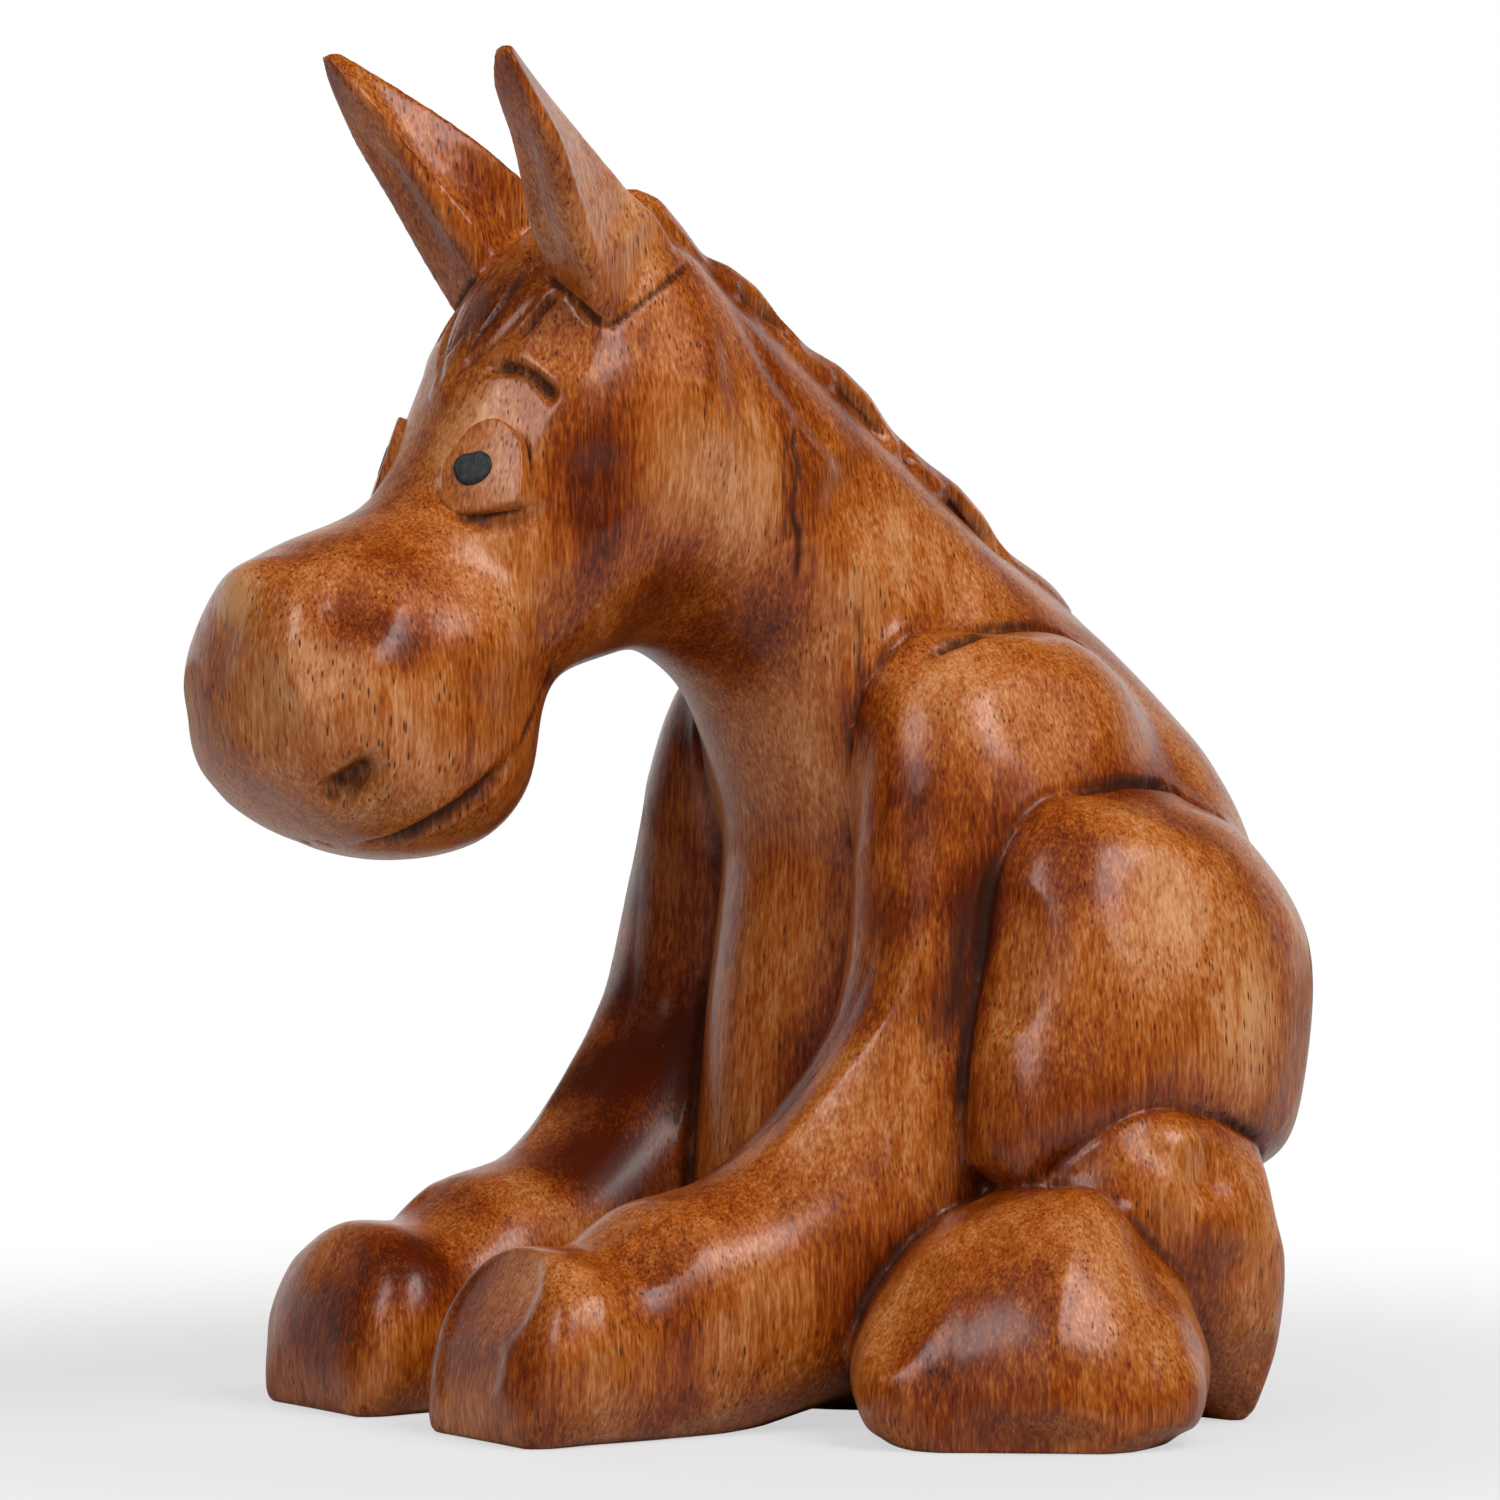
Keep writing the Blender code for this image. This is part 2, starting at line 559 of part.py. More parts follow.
def main():
    clear_scene()
    wood = material("carved_wood", WOOD, 0.4)
    pale = material("dowel_wood", DOWEL_WOOD, 0.7)
    black = material("pupil_black", PUPIL_BLACK, 0.5)
    floor = floor_block(wood)

    trunk = carve("trunk", wood, TRUNK, TRUNK_SIDES, TRUNK_STEPS)
    head = carve("head", wood, HEAD, HEAD_SIDES, HEAD_STEPS)
    tail = carve("tail", wood, TAIL, TAIL_SIDES, TAIL_STEPS)
    mane = carve_mane(wood)
    trunk_room = grown(trunk, GLUE_GAP)
    head_room = grown(head, GLUE_GAP)
    mane_room = grown(mane, GLUE_GAP)
    forelock = carve_forelock(wood)
    forelock_room = grown(forelock, GLUE_GAP)
    cut(forelock, head_room, mane_room)
    cut(head, trunk_room)
    cut(mane, head_room, trunk_room)
    cut(tail, trunk_room, floor)
    carve_mouth_and_nostrils(head, wood)

    front, back = Vector((0, *NECK_JOINT.front)), Vector((0, *NECK_JOINT.back))
    up_neck = Vector((1, 0, 0)).cross(back - front).normalized() * NECK_DOWEL_LENGTH / 2
    middle = (front + back) / 2
    dowel("neck_dowel", middle - up_neck, middle + up_neck, NECK_DOWEL_DIAMETER, pale, trunk, head)

    for side in (LEFT, RIGHT):
        haunch = carve("haunch_", wood, HAUNCH, HAUNCH_SIDES, HAUNCH_STEPS, side)
        foreleg = carve("foreleg_", wood, FORELEG, FORELEG_SIDES, FORELEG_STEPS, side)
        shank = carve("shank_", wood, SHANK, SHANK_SIDES, SHANK_STEPS, side)
        hoof = carve(
            "hind_hoof_",
            wood,
            HOOF,
            HOOF_SIDES,
            HOOF_STEPS,
            side,
            at=(side * HOOF_OUT, HOOF_BACK, 0),
            turn=Quaternion((0, 0, 1), math.radians(side * HOOF_TURN)),
        )
        haunch_room = grown(haunch, GLUE_GAP)
        hoof_room = grown(hoof, GLUE_GAP)
        shank_room = grown(shank, GLUE_GAP)
        cut(haunch, trunk_room)
        cut(hoof, trunk_room, haunch_room, floor)
        cut(shank, trunk_room, haunch_room, hoof_room, floor)
        cut(foreleg, trunk_room, head_room, haunch_room, hoof_room, shank_room, floor)
        side_dowel("haunch_dowel_", side, trunk, haunch, HAUNCH_DOWEL, pale)
        side_dowel("hoof_dowel_", side, trunk, hoof, HOOF_DOWEL, pale)
        side_dowel("shank_dowel_", side, trunk, shank, SHANK_DOWEL, pale)
        side_dowel("foreleg_dowel_", side, trunk, foreleg, FORELEG_DOWEL, pale)

        ear = carve_ear(side, wood)
        cut(ear, head_room, mane_room, forelock_room)
        root, up_ear = ear_axis(side)
        seat, _ = surface_point(head, root + up_ear * WELL_OUTSIDE, -up_ear)
        half = up_ear * EAR_DOWEL_LENGTH / 2
        name = "ear_dowel_" + SIDE_NAMES[side]
        dowel(name, seat - half, seat + half, EAR_DOWEL_DIAMETER, pale, head, ear)
        carve_eye(side, head, head_room, wood, black)

    horse = bpy.data.objects.new("carved_horse", None)
    bpy.context.scene.collection.objects.link(horse)
    for obj in list(bpy.context.scene.objects):
        if obj is not horse:
            obj.parent = horse


main()
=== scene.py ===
"""Looks of the carved wooden horse.

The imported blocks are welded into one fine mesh, carved as the photograph shows it, and parted again
along their grooves. So each block keeps a piece of its own, and the grain runs on through all of them.
Sizes are in millimetres until a mesh is made. A pixel is a place in the photograph, 1500 by 1500.
"""

import json
import math
from collections import namedtuple

import bmesh
import bpy
import numpy as np
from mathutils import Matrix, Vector
from mathutils.bvhtree import BVHTree
from mathutils.kdtree import KDTree

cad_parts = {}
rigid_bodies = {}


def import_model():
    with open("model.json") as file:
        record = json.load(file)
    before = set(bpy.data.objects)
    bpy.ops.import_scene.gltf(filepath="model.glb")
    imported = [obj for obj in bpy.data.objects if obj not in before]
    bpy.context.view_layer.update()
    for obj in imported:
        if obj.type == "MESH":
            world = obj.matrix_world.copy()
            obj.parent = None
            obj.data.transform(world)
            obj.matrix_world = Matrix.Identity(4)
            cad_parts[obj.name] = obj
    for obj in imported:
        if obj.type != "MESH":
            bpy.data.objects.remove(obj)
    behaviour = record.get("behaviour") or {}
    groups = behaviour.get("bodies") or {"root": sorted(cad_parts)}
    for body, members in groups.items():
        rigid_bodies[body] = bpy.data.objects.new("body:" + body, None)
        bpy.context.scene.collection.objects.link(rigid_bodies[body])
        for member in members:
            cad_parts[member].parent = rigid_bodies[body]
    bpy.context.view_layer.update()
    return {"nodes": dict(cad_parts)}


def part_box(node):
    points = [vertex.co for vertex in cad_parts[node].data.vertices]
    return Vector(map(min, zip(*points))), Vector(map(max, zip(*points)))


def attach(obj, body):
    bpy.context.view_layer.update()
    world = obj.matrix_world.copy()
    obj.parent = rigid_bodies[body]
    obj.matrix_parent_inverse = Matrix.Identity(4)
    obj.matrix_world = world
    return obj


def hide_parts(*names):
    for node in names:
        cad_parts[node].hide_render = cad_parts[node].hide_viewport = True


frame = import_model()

MM = 0.001
LEFT, RIGHT = 1, -1
SIDE_NAMES = {LEFT: "left", RIGHT: "right"}

# Camera, as the photograph was taken
PIXELS = 1500
AZIMUTH = math.radians(57)
TO_RIGHT = Vector((math.cos(AZIMUTH), math.sin(AZIMUTH), 0))
TO_CAMERA = Vector((math.sin(AZIMUTH), -math.cos(AZIMUTH), 0))
MIDDLE = Vector((0, 3, 0)) + TO_RIGHT * 1.6
AIM = MIDDLE + Vector((0, 0, 70))
CAMERA = MIDDLE + TO_CAMERA * 1000 + Vector((0, 0, 115))
VIEW_WIDTH = 160.8
SENSOR = 36.0


def soft_step(x):
    """0 below 0, 1 above 1, and smooth between."""
    x = np.clip(x, 0, 1)
    return x * x * (3 - 2 * x)


# Welding the blocks into one mesh, which swells a little so that they join
VOXEL = 0.45
SWELL = 0.25
DOUBLE_GAP = 0.001
PUPIL_SUNK = 1.7
BORDER_ROUNDS = 5

# Smoothing the weld: fine blocks, seams and feet are spared, and rounded forms are filled up again
BASE_ROUNDS = 80
FINE_ROUNDS = 7
FINE_BLOCKS = ("ear", "mane")
FINE_BORDER_ROUNDS = 4
CRISP_REACH = 3.5
CRISP_SHARE = 0.75
CRISP_RUN = 1.4
CRISP_FOOT = 5.0
FOOT_RUN = 1.2
PULL = 0.5
LEAST_SHARE = 0.001
REFILL_ROUNDS = 60
REFILL_LEAST = -0.2

BLOCKS = ["trunk", "head", "mane", "forelock", "tail"]
for part in ("foreleg", "haunch", "shank", "hind_hoof", "ear"):
    BLOCKS += [part + "_left", part + "_right"]

# A seam between two blocks: its V-groove, the dark stain and painted shade in it, and how wide it is
# smoothed away
Seam = namedtuple("Seam", "half_width depth stain blend", defaults=(0,))
NO_SEAM = Seam(0, 0, 0, 14)
SEAMS = {
    ("head", "trunk"): NO_SEAM,
    ("foreleg", "trunk"): Seam(0.9, 1.0, 0.9),
    ("foreleg", "head"): Seam(0.9, 0.8, 0.8),
    ("haunch", "trunk"): Seam(0.9, 0.8, 0.7),
    ("foreleg", "haunch"): Seam(1.0, 1.2, 1.1),
    ("haunch", "shank"): Seam(0.8, 0.9, 0.8),
    ("shank", "trunk"): Seam(0.8, 0.6, 0.5),
    ("hind_hoof", "shank"): Seam(0.8, 0.9, 0.9),
    ("foreleg", "hind_hoof"): Seam(0.7, 0.9, 0.9),
    ("haunch", "hind_hoof"): Seam(0.8, 0.9, 1.0),
    ("hind_hoof", "trunk"): Seam(0.8, 0.8, 0.8),
    ("foreleg", "shank"): Seam(0.8, 0.8, 0.8),
    ("ear", "head"): Seam(0.8, 0.2, 0.0),
    ("head", "mane"): Seam(0.9, 0.3, 0.3),
    ("forelock", "head"): Seam(0.7, 0.2, 0.3),
    ("ear", "forelock"): Seam(0.8, 0.4, 0.5),
    ("ear", "mane"): Seam(0.8, 0.4, 0.5),
    ("forelock", "mane"): Seam(0.8, 0.3, 0.3),
    ("mane", "trunk"): Seam(0.8, 0.3, 0.3),
    ("tail", "trunk"): Seam(1.2, 0.6, 0.5),
}
# Behind these planes (y) the shoulder and the haunch run smoothly into the trunk
SMOOTH_BEHIND = {("foreleg", "trunk"): 16.0, ("haunch", "trunk"): 47.0}

# Tools: a facet, mound or tint is set at a pixel, a groove follows pixels, and all are mirrored
Facet = namedtuple("Facet", "pixel reach depth")
FAR_SHARE = 0.25
RING, RING_SHARE = 0.6, 50
STROKE_RUN = 3
STROKE_TURN = 0.2
VEE, HOLLOW, VALLEY = "vee", "hollow", "valley"
PROFILES = {
    VEE: lambda share: share,
    HOLLOW: lambda share: 1 - (1 - share) ** 2,
    VALLEY: soft_step,
}
Groove = namedtuple(
    "Groove", "pixels half_width depth stain shape lean taper far_back", defaults=(0, VEE, 0, 0.3, 0)
)
GROOVE_STEP = 4
GROOVE_START = 0.05
KNIFE_SOFT = 0.22
FOOT_EDGE = 2.5
STAIN_AND_SHADE_SPREAD = 1.6
SHADE_REACH = 6.0
SHADE_SHARE = 0.45
PRESS_MEAN, PRESS_SWING = 0.78, 0.42
PRESS_ACROSS, PRESS_ALONG, PRESS_UP, PRESS_SHIFT = 5.1, 4.3, (3.7, 6.1), 1.2
SEAM_EVEN = 1.6
BLEND_ROUNDS = 700
BLEND_RUN = 1.2

# Flat knife strokes on the hind legs and the tail
MARK_SEED = 11
MARK_TRIES = 3000
MARK_SPACING = 9.5
MARK_REACH = (8.0, 12.0)
MARK_DEPTH = (0.0, 0.15)
MARKED_BLOCKS = ("shank", "hind_hoof", "tail")

# Dents, and mounds below 0, from the nose to the hind hoof
MOUNDS = (
    Facet((492, 640), 9, -1.5),
    Facet((548, 570), 6, -0.6),
    Facet((258, 588), 7, -1.1),
    Facet((265, 665), 9, -0.5),
    Facet((328, 674), 6.5, -0.9),
    Facet((590, 480), 6, 0.6),
    Facet((650, 1238), 4.5, -0.7),
    Facet((606, 1262), 3.5, 0.6),
    Facet((1212, 1180), 5, 1.4),
    Facet((1180, 1135), 4, -0.5),
    Facet((1255, 1330), 4, -0.6),
    Facet((1235, 1270), 4, 0.8),
    Facet((1088, 1215), 7, -1.2),
    Facet((876, 1392), 8, -1.1),
    Facet((1186, 1408), 8, -1.0),
)
# Flat planes
FACETS = (
    # Nose, cheek and eye
    Facet((250, 599), 6, 0.8),
    Facet((326, 672), 6, 0.6),
    Facet((262, 705), 9, 0.4),
    Facet((500, 605), 7, 0.6),
    Facet((490, 440), 10, 0.5),
    # Forelock, side of the head and neck
    Facet((470, 310), 7, 0.4),
    Facet((655, 325), 10, 0.5),
    Facet((575, 320), 7, 0.4),
    Facet((900, 550), 13, 0.8),
    # Shoulder, foreleg and hoof
    Facet((1062, 745), 13, 0.7),
    Facet((655, 1248), 5, 0.6),
    Facet((955, 1140), 8, 0.7),
    Facet((484, 1300), 10, 1.7),
    Facet((466, 1360), 8, 0.7),
    # Haunch
    Facet((1171, 930), 12, 0.6),
    Facet((1003, 960), 9, 0.4),
    # Hind hoof
    Facet((905, 1310), 8, 0.8),
)
# Ridges below 0, and wide hollows
LEG_RIDGE = ((948, 810), (926, 908), (908, 993), (854, 1073), (774, 1154), (680, 1200))
SOFT_GROOVES = (
    Groove(LEG_RIDGE, 5.5, -1.4, 0, VEE, 0, 0.4),
    Groove(((1090, 1192), (1062, 1290), (1048, 1440)), 10.0, -2.2, 0, VEE, 0, 0.12),
    Groove(((566, 1275), (562, 1330), (560, 1400)), 3.0, -0.5, 0, VEE, 0, 0.3),
    Groove(((600, 1262), (604, 1330), (612, 1425)), 3.0, -0.6, 0, VEE, 0, 0.3),
    Groove(((292, 602), (340, 606), (398, 630)), 7.5, 1.6, 0, VALLEY, 0, 0.5),
    Groove(((690, 310), (705, 390), (730, 480)), 5.0, -0.8, 0, VALLEY),
    Groove(((720, 290), (800, 410), (880, 495), (985, 585)), 2.4, 0.45, 0.2, VALLEY),
)
EYE_RIM = ((504, 424), (520, 442), (524, 474), (518, 500), (500, 508), (467, 514), (448, 507))
EYE_TOP = ((446, 505), (447, 468), (460, 448), (477, 428), (499, 421))
NECK_CRACK = ((801, 405), (794, 440), (799, 472), (793, 508), (799, 545), (791, 597))
CUTS = (
    # Nostril, mouth and jaw
    Groove(((316, 798), (345, 784), (366, 770), (378, 750)), 1.9, 2.4, 0.9, HOLLOW, 0.2, 0.35),
    Groove(((316, 800), (345, 793), (366, 780), (380, 762)), 1.0, 0.8, 2.2, VEE, 0, 0.3),
    Groove(((384, 750), (388, 770), (380, 792)), 1.0, -0.6, 0, VALLEY),
    Groove(((350, 849), (403, 838), (467, 803), (518, 756)), 1.3, 1.5, 1.2, HOLLOW, 0, 0.3),
    Groove(((514, 760), (540, 699), (563, 641)), 0.6, 0.5, 1.0),
    Groove(((300, 838), (322, 856)), 0.7, 0.5, 0.5),
    # Brow and the fold under the eye; the dark lines round the eye pad and under it are painted shadow
    Groove(((482, 370), (505, 367), (530, 376), (560, 404)), 0.9, 1.3, 1.3, HOLLOW, 0, 0.3, 4.0),
    Groove(EYE_RIM, 0.8, 0.5, 1.2, VEE, 0, 0.2),
    Groove(EYE_TOP, 0.6, 0.25, 0.6, VEE, 0, 0.2),
    Groove(((436, 512), (500, 524), (562, 503)), 1.4, 0.5, 0.4, VALLEY),
    # Forelock
    Groove(((531, 262), (500, 307), (460, 360)), 0.45, 0.5, 0.85, VEE, 0, 0.15),
    Groove(((512, 258), (478, 307), (440, 362)), 0.45, 0.4, 0.75, VEE, 0, 0.15),
    Groove(((496, 262), (466, 305)), 0.45, 0.3, 0.65, VEE, 0, 0.15),
    Groove(((561, 290), (540, 312), (516, 343)), 0.7, 1.0, 0.9, HOLLOW, 0.3, 0.25),
    Groove(((545, 290), (500, 338), (440, 388)), 0.9, 0.5, 0.45, VEE, 0.5, 0.15),
    # Ears: the hollow, the front plane, the ridge beside it and the lines under it
    Groove(((350, 80), (398, 130), (442, 178), (486, 228)), 3.2, 1.3, 0.15, HOLLOW, 0, 0.5),
    Groove(((513, 105), (535, 190), (562, 275)), 2.3, 0.5, 0, HOLLOW, 0, 0.4),
    Groove(((538, 97), (558, 142), (575, 204), (595, 277), (604, 320)), 1.4, -0.45, 0, VEE),
    Groove(((541, 274), (575, 300), (606, 330)), 0.5, 0.8, 1.35, VEE, 0, 0.15),
    Groove(((604, 332), (650, 297), (694, 259)), 0.5, 0.8, 1.45, VEE, 0, 0.15),
    # Cracks of the neck
    Groove(NECK_CRACK, 0.5, 0.6, 1.1, VEE, 0, 0.2),
    Groove(((787, 430), (785, 480), (788, 545)), 0.45, 0.4, 0.9, VEE, 0, 0.1),
    Groove(((857, 603), (859, 645), (855, 690)), 0.45, 0.4, 0.8, VEE, 0, 0.1),
    # Leaf cuts of the mane
    Groove(((735, 285), (770, 310), (800, 345)), 1.7, 1.6, 0.8, HOLLOW),
    Groove(((830, 375), (865, 405), (890, 450)), 1.7, 1.6, 0.8, HOLLOW),
    Groove(((898, 428), (915, 470)), 1.2, 1.0, 0.7, HOLLOW),
    Groove(((940, 485), (975, 520), (1010, 560)), 1.7, 1.6, 0.8, HOLLOW),
    # Top of the shoulder, and the rough grain in the valley before the haunch, darkened with stain and
    # painted shade
    Groove(((1085, 640), (1024, 626), (955, 642), (903, 672)), 1.2, 0.9, 1.0),
    Groove(((1000, 865), (965, 930), (950, 1000), (915, 1085)), 2.4, 0.25, 0.7, VALLEY),
)
# Painted shade, and painted highlights below 0, with a few places where the wood itself is darker
SHADE_HIGHLIGHT_AND_TONE_MARKS = (
    # Head and neck
    Facet((588, 440), 8, 0.25),
    Facet((598, 490), 8, 0.30),
    Facet((604, 540), 7, 0.20),
    Facet((250, 597), 6, -0.40),
    Facet((470, 440), 8, -0.35),
    Facet((345, 612), 6, 0.55),
    Facet((400, 640), 6, 0.55),
    Facet((400, 556), 8, 0.25),
    Facet((750, 640), 12, 0.30),
    Facet((660, 590), 9, 0.20),
    Facet((300, 690), 9, -0.20),
    Facet((720, 470), 12, -0.45),
    Facet((900, 540), 11, -0.25),
    Facet((500, 600), 8, -0.12),
    Facet((635, 235), 9, -0.12),
    Facet((535, 190), 8, 0.10),
    Facet((512, 75), 5, 0.30),
    Facet((480, 310), 7, 0.20),
    # Shoulder and forelegs
    Facet((870, 720), 8, 0.35),
    Facet((905, 800), 9, 0.30),
    Facet((890, 920), 7, 0.40),
    Facet((860, 1010), 8, 0.40),
    Facet((790, 1105), 8, 0.40),
    Facet((820, 1250), 14, 0.05),
    Facet((700, 1330), 12, 0.05),
    Facet((505, 1350), 9, 0.20),
    Facet((690, 1405), 4, 0.30),
    Facet((582, 1300), 4, -0.12),
    Facet((582, 1350), 4, -0.15),
    Facet((585, 1395), 4, -0.15),
    # The far foreleg and its hoof: painted shade
    Facet((600, 1160), 11, 0.70),
    Facet((660, 1060), 11, 0.60),
    Facet((420, 1260), 9, 0.50),
    Facet((340, 1320), 10, 0.40),
    # Haunch, shank and hind hoof
    Facet((960, 900), 7, 0.35),
    Facet((950, 1000), 7, 0.35),
    Facet((985, 1190), 5, 0.30),
    Facet((1080, 880), 8, 0.15),
    Facet((1100, 1075), 12, 0.30),
    Facet((1180, 920), 12, -0.35),
    Facet((1260, 1010), 10, -0.30),
    Facet((1210, 1260), 7, 0.30),
    Facet((940, 1350), 11, 0.10),
    Facet((1010, 1300), 9, 0.12),
    Facet((1075, 1290), 7, -0.12),
)


def pixel_ray(u, v):
    """The line of sight through a pixel, from the camera."""
    ahead = (AIM - CAMERA).normalized()
    up = TO_RIGHT.cross(ahead)
    step = VIEW_WIDTH / PIXELS / (AIM - CAMERA).length
    ray = ahead + TO_RIGHT * (u - PIXELS / 2) * step - up * (v - PIXELS / 2) * step
    return ray.normalized()


def new_object(name, bm):
    mesh = bpy.data.meshes.new(name)
    bm.to_mesh(mesh)
    bm.free()
    obj = bpy.data.objects.new(name, mesh)
    bpy.context.scene.collection.objects.link(obj)
    return obj


def numbers(items, key, width, kind=np.float32):
    """One property of every item of a mesh, as rows."""
    flat = np.empty(len(items) * width, kind)
    items.foreach_get(key, flat)
    return flat.reshape(-1, width)


def node_middle(node):
    low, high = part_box(node)
    return (low + high) / 2


def weld_blocks():
    """All blocks and what is inside them as one closed mesh of small even faces."""
    bm = bmesh.new()
    for node, obj in sorted(frame["nodes"].items()):
        if node.startswith("eye"):
            continue
        copy = bmesh.new()
        copy.from_mesh(obj.data)
        bmesh.ops.remove_doubles(copy, verts=copy.verts, dist=DOUBLE_GAP * MM)
        copy.normal_update()
        for vert in copy.verts:
            vert.co += vert.normal * SWELL * MM
        if node.startswith("pupil"):
            inwards = node_middle(node) - node_middle(node.replace("pupil", "eye"))
            bmesh.ops.translate(copy, verts=copy.verts, vec=inwards.normalized() * PUPIL_SUNK * MM)
        mesh = bpy.data.meshes.new(node)
        copy.to_mesh(mesh)
        copy.free()
        bm.from_mesh(mesh)
        bpy.data.meshes.remove(mesh)
    obj = new_object("carving", bm)
    remesh = obj.modifiers.new("remesh", "REMESH")
    remesh.mode = "VOXEL"
    remesh.voxel_size = VOXEL * MM
    graph = bpy.context.evaluated_depsgraph_get()
    fine = bpy.data.meshes.new_from_object(obj.evaluated_get(graph))
    obj.modifiers.clear()
    obj.data = fine
    return obj


class Carving:
    """The whole figure as one fine mesh, in millimetres, for the tools to cut into."""

    def __init__(self, obj):
        self.obj = obj
        self.points = numbers(obj.data.vertices, "co", 3).astype(float) / MM
        self.edges = numbers(obj.data.edges, "vertices", 2, np.int32)
        ends = np.concatenate((self.edges, self.edges[:, ::-1]))
        self.neighbours = ends[np.argsort(ends[:, 0], kind="stable"), 1]
        self.degree = np.bincount(ends[:, 0], minlength=len(self.points))[:, None]
        self.ends = np.cumsum(self.degree)
        self.starts = self.ends - self.degree[:, 0]
        self.stain = np.zeros(len(self.points))
        self.tone = np.zeros(len(self.points))
        self.points -= self.normals() * SWELL
        self.owner = self.find_owners()

    def store(self):
        mesh = self.obj.data
        mesh.vertices.foreach_set("co", (self.points * MM).astype(np.float32).ravel())
        mesh.update()

    def normals(self):
        self.store()
        return numbers(self.obj.data.vertex_normals, "vector", 3).astype(float)

    def mean_of_neighbours(self, rows):
        sums = np.add.reduceat(rows[self.neighbours], self.starts)
        return sums / self.degree

    def smooth(self, rounds, share=None):
        """Draws each point part of the way towards its neighbours, by its own share."""
        moved = np.arange(len(self.points)) if share is None else np.flatnonzero(share > LEAST_SHARE)
        pull = PULL if share is None else PULL * share[moved, None]
        rows = np.concatenate([self.neighbours[self.starts[k]:self.ends[k]] for k in moved])
        counts = (self.ends - self.starts)[moved]
        begins = np.concatenate(([0], np.cumsum(counts)[:-1]))
        for _ in range(rounds):
            means = np.add.reduceat(self.points[rows], begins) / counts[:, None]
            self.points[moved] += (means - self.points[moved]) * pull

    def find_owners(self):
        """The block that each point belongs to, with soft borders, as a number in BLOCKS."""
        corners, faces, owners = [], [], []
        for k, node in enumerate(BLOCKS):
            mesh = frame["nodes"][node].data
            mesh.calc_loop_triangles()
            faces.append(numbers(mesh.loop_triangles, "vertices", 3, np.int32) + len(corners))
            corners += [vert.co / MM for vert in mesh.vertices]
            owners += [k] * len(faces[-1])
        tree = BVHTree.FromPolygons(corners, np.concatenate(faces).tolist())
        nearest = [owners[tree.find_nearest(point)[2]] for point in self.points.tolist()]
        shares = np.eye(len(BLOCKS))[nearest]
        for _ in range(BORDER_ROUNDS):
            shares = self.mean_of_neighbours(shares)
        return shares.argmax(1)

    def of_kind(self, *kinds):
        """Which points belong to blocks of these kinds."""
        wanted = [k for k, node in enumerate(BLOCKS) if kind_of(node) in kinds]
        return np.isin(self.owner, wanted)

    def look(self):
        """Takes the surface as it is now, for the tools to aim at."""
        self.facing = self.normals()
        self.before = self.points.copy()
        self.near = kd_tree(self.points)
        self.tree = BVHTree.FromObject(self.obj, bpy.context.evaluated_depsgraph_get())

    def at(self, pixel):
        """The place on the surface that a pixel of the photograph shows."""
        hit = self.tree.ray_cast(CAMERA * MM, pixel_ray(*pixel))[0]
        return hit and np.array(hit) / MM

    def around(self, middle, reach):
        """The points within reach of a place, and how far each is from it."""
        near = np.array([k for _, k, _ in self.near.find_range(middle, reach * 1.1)], int)
        far = np.linalg.norm(self.points[near] - middle, axis=1)
        return near[far < reach], far[far < reach]

    def slice(self, middle, reach, depth):
        """Takes off what stands above a plane, as a knife stroke does, if it runs out within reach."""
        near, far = self.around(middle, reach)
        own = self.owner[near] == self.owner[near[far.argmin()]]
        near, far = near[own], far[own]
        facing = (self.facing[near] * (1 - far / reach)[:, None]).sum(0)
        facing /= np.linalg.norm(facing)
        high = (self.points[near] - middle) @ facing
        depth = min(depth, np.percentile(-high[far > RING * reach], RING_SHARE))
        if depth <= 0:
            return
        high += depth
        cut = (high + np.sqrt(high**2 + KNIFE_SOFT**2)) / 2
        cut *= soft_step((1 - far / reach) * STROKE_RUN)
        cut[self.facing[near] @ facing < STROKE_TURN] = 0
        self.points[near] -= facing * cut[:, None]

    def pare(self, facet):
        """Cuts a flat plane at a place, and a shallower one on the far side."""
        middle = self.at(facet.pixel)
        for side in SIDE_NAMES:
            depth = facet.depth * (1 if side == LEFT else FAR_SHARE)
            self.slice(middle * (side, 1, 1), facet.reach, depth)

    def stand(self):
        """Keeps the feet flat: near the floor, no tool has moved a point up or down."""
        keep = 1 - soft_step(self.before[:, 2] / FOOT_EDGE)
        self.points[:, 2] += (self.before[:, 2] - self.points[:, 2]) * keep

    def refill(self, drawn):
        """Gives the rounded forms back what smoothing took off them, and leaves its hollows filled."""
        facing = self.normals()
        lost = np.clip(((drawn - self.points) * facing).sum(1), REFILL_LEAST, None)[:, None]
        for _ in range(REFILL_ROUNDS):
            lost = self.mean_of_neighbours(lost)
        self.points += facing * lost

    def crispness(self):
        """How much smoothing each point is spared: all in fine blocks and feet, most of it in seams."""
        spared = self.of_kind(*FINE_BLOCKS).astype(float)[:, None]
        for _ in range(FINE_BORDER_ROUNDS):
            spared = self.mean_of_neighbours(spared)
        groups = self.find_seams()
        del groups[NO_SEAM]
        inside, far = self.near_seams(np.concatenate(list(groups.values())), CRISP_REACH)
        spared = spared[:, 0]
        in_seams = CRISP_SHARE * soft_step(CRISP_RUN - CRISP_RUN * far / CRISP_REACH)
        spared[inside] = np.maximum(spared[inside], in_seams)
        return np.maximum(spared, soft_step(FOOT_RUN - self.points[:, 2] / CRISP_FOOT))

    def swell(self, facet):
        """Presses a soft dent, or raises a mound where the depth is below 0."""
        middle = self.at(facet.pixel)
        for side in SIDE_NAMES:
            near, far = self.around(middle * (side, 1, 1), facet.reach)
            mound = facet.depth * soft_step(1 - far / facet.reach)
            self.points[near] -= self.facing[near] * mound[:, None]

